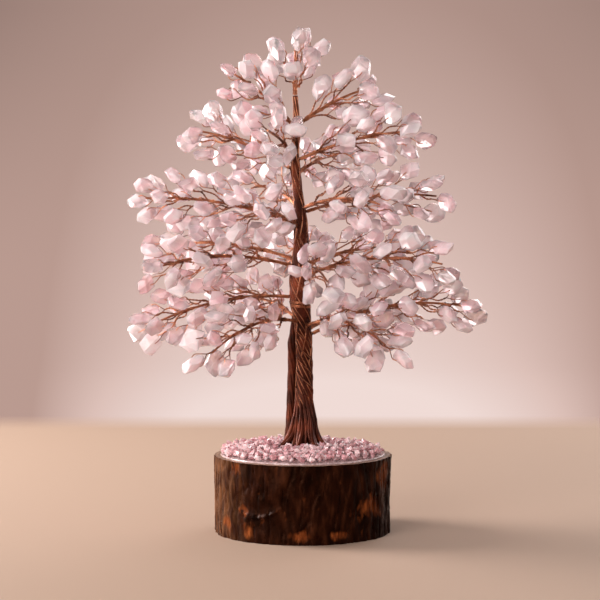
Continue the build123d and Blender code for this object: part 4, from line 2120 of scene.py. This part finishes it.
@dataclass
class Studio:
    """The sweep, the soft lamps, the light of the room and the photograph's camera, in metres."""

    aim: tuple[float, float, float] = (0.0, 0.0, 0.17)
    air_colour: Colour = (1.0, 0.93, 0.92)
    side_level: float = 1.0
    side_height: float = 0.25
    overhead_level: float = 0.22
    overhead_height: float = 0.65
    seen_level: float = 1.0
    camera_place: tuple[float, float, float] = (-0.0015, -0.996, 0.176)
    camera_tilt: float = 2.47
    lens: float = 104.0
    sensor: float = 36.0
    sight: float = 20.0

    def camera(self) -> None:
        """Set the camera at the photograph's angle."""
        data = bpy.data.cameras.new("photo_camera")
        data.lens = self.lens
        data.sensor_width = self.sensor
        data.clip_end = self.sight
        camera = bpy.data.objects.new("photo_camera", data)
        camera.location = self.camera_place
        camera.rotation_euler = (math.radians(90.0 - self.camera_tilt), 0.0, 0.0)
        bpy.context.scene.collection.objects.link(camera)
        bpy.context.scene.camera = camera

    def air(self) -> None:
        """Light the room from its walls more than from overhead, and show stones a white room."""
        world = bpy.data.worlds.new("studio_air")
        world.use_nodes = True
        room = NodeMaker(world.node_tree, "Generated")
        air = world.node_tree.nodes["Background"]
        air.inputs["Color"].default_value = (*self.air_colour, 1.0)
        heights = (self.side_height, self.overhead_height)
        walls = room.spread(room.axes()["Z"], *heights, self.side_level, self.overhead_level)
        level = room.add("ShaderNodeMapRange")
        level.inputs["To Max"].default_value = self.seen_level
        room.link(walls, level.inputs["To Min"])
        room.link(room.add("ShaderNodeLightPath").outputs["Is Transmission Ray"], level.inputs["Value"])
        room.link(level.outputs["Result"], air.inputs["Strength"])
        bpy.context.scene.world = world

    def build(self) -> None:
        """Make the studio."""
        Sweep().build()
        for lamp in LAMPS:
            lamp.hang(Vector(self.aim))
        self.air()
        bpy.context.scene.view_settings.view_transform = "Standard"
        self.camera()


def build_crown(lines: Sequence[BranchLine], finishes: Finishes, nodes: Mapping[str, Piece]) -> int:
    """Make each branch's wires and stones.

    Args:
        lines: Where each branch lies.
        finishes: The tree's materials.
        nodes: The frame's nodes.

    Returns:
        How many stones the tree has.
    """
    index = 0
    for line in lines:
        name = line.branch.name
        BranchWires(line, index).build(finishes)
        stones = BrokenChips(
            f"{name}_stones", f"{name}_quartz", f"{name}_branch", Slot.QUARTZ, TUMBLED, index
        )
        stones.build(finishes, nodes)
        index += line.branch.stones
    return index


def main() -> None:
    """Load the frame, dress the tree piece by piece and set the studio."""
    logging.basicConfig(level=logging.INFO, format="%(message)s")
    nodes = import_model()["nodes"]
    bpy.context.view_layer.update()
    finishes = Finishes()
    finishes.build()
    trunk = TrunkLine()
    lines = [BranchLine(branch, trunk) for branch in BRANCHES]
    LogBase().build(finishes, nodes)
    GlueBead().build(finishes)
    feeders = Feeders(trunk, branches=lines)
    wound = (TrunkBundle(trunk), SideStem(trunk), Roots(trunk), Wraps(trunk), feeders, Binding(trunk))
    for piece in wound:
        piece.build(finishes)
    finishes.dress_node(nodes["core_wires"], Slot.COPPER)
    index = build_crown(lines, finishes, nodes)
    for ring in ("inner", "outer"):
        gravel = BrokenChips(
            f"gravel_{ring}", f"gravel_chips_{ring}", ROOT_BODY, Slot.GRAVEL, CRUSHED, index
        )
        gravel.build(finishes, nodes)
        index += GRAVEL_STEP
    LooseGravel().build(finishes)
    Studio().build()


if __name__ == "__main__":
    main()
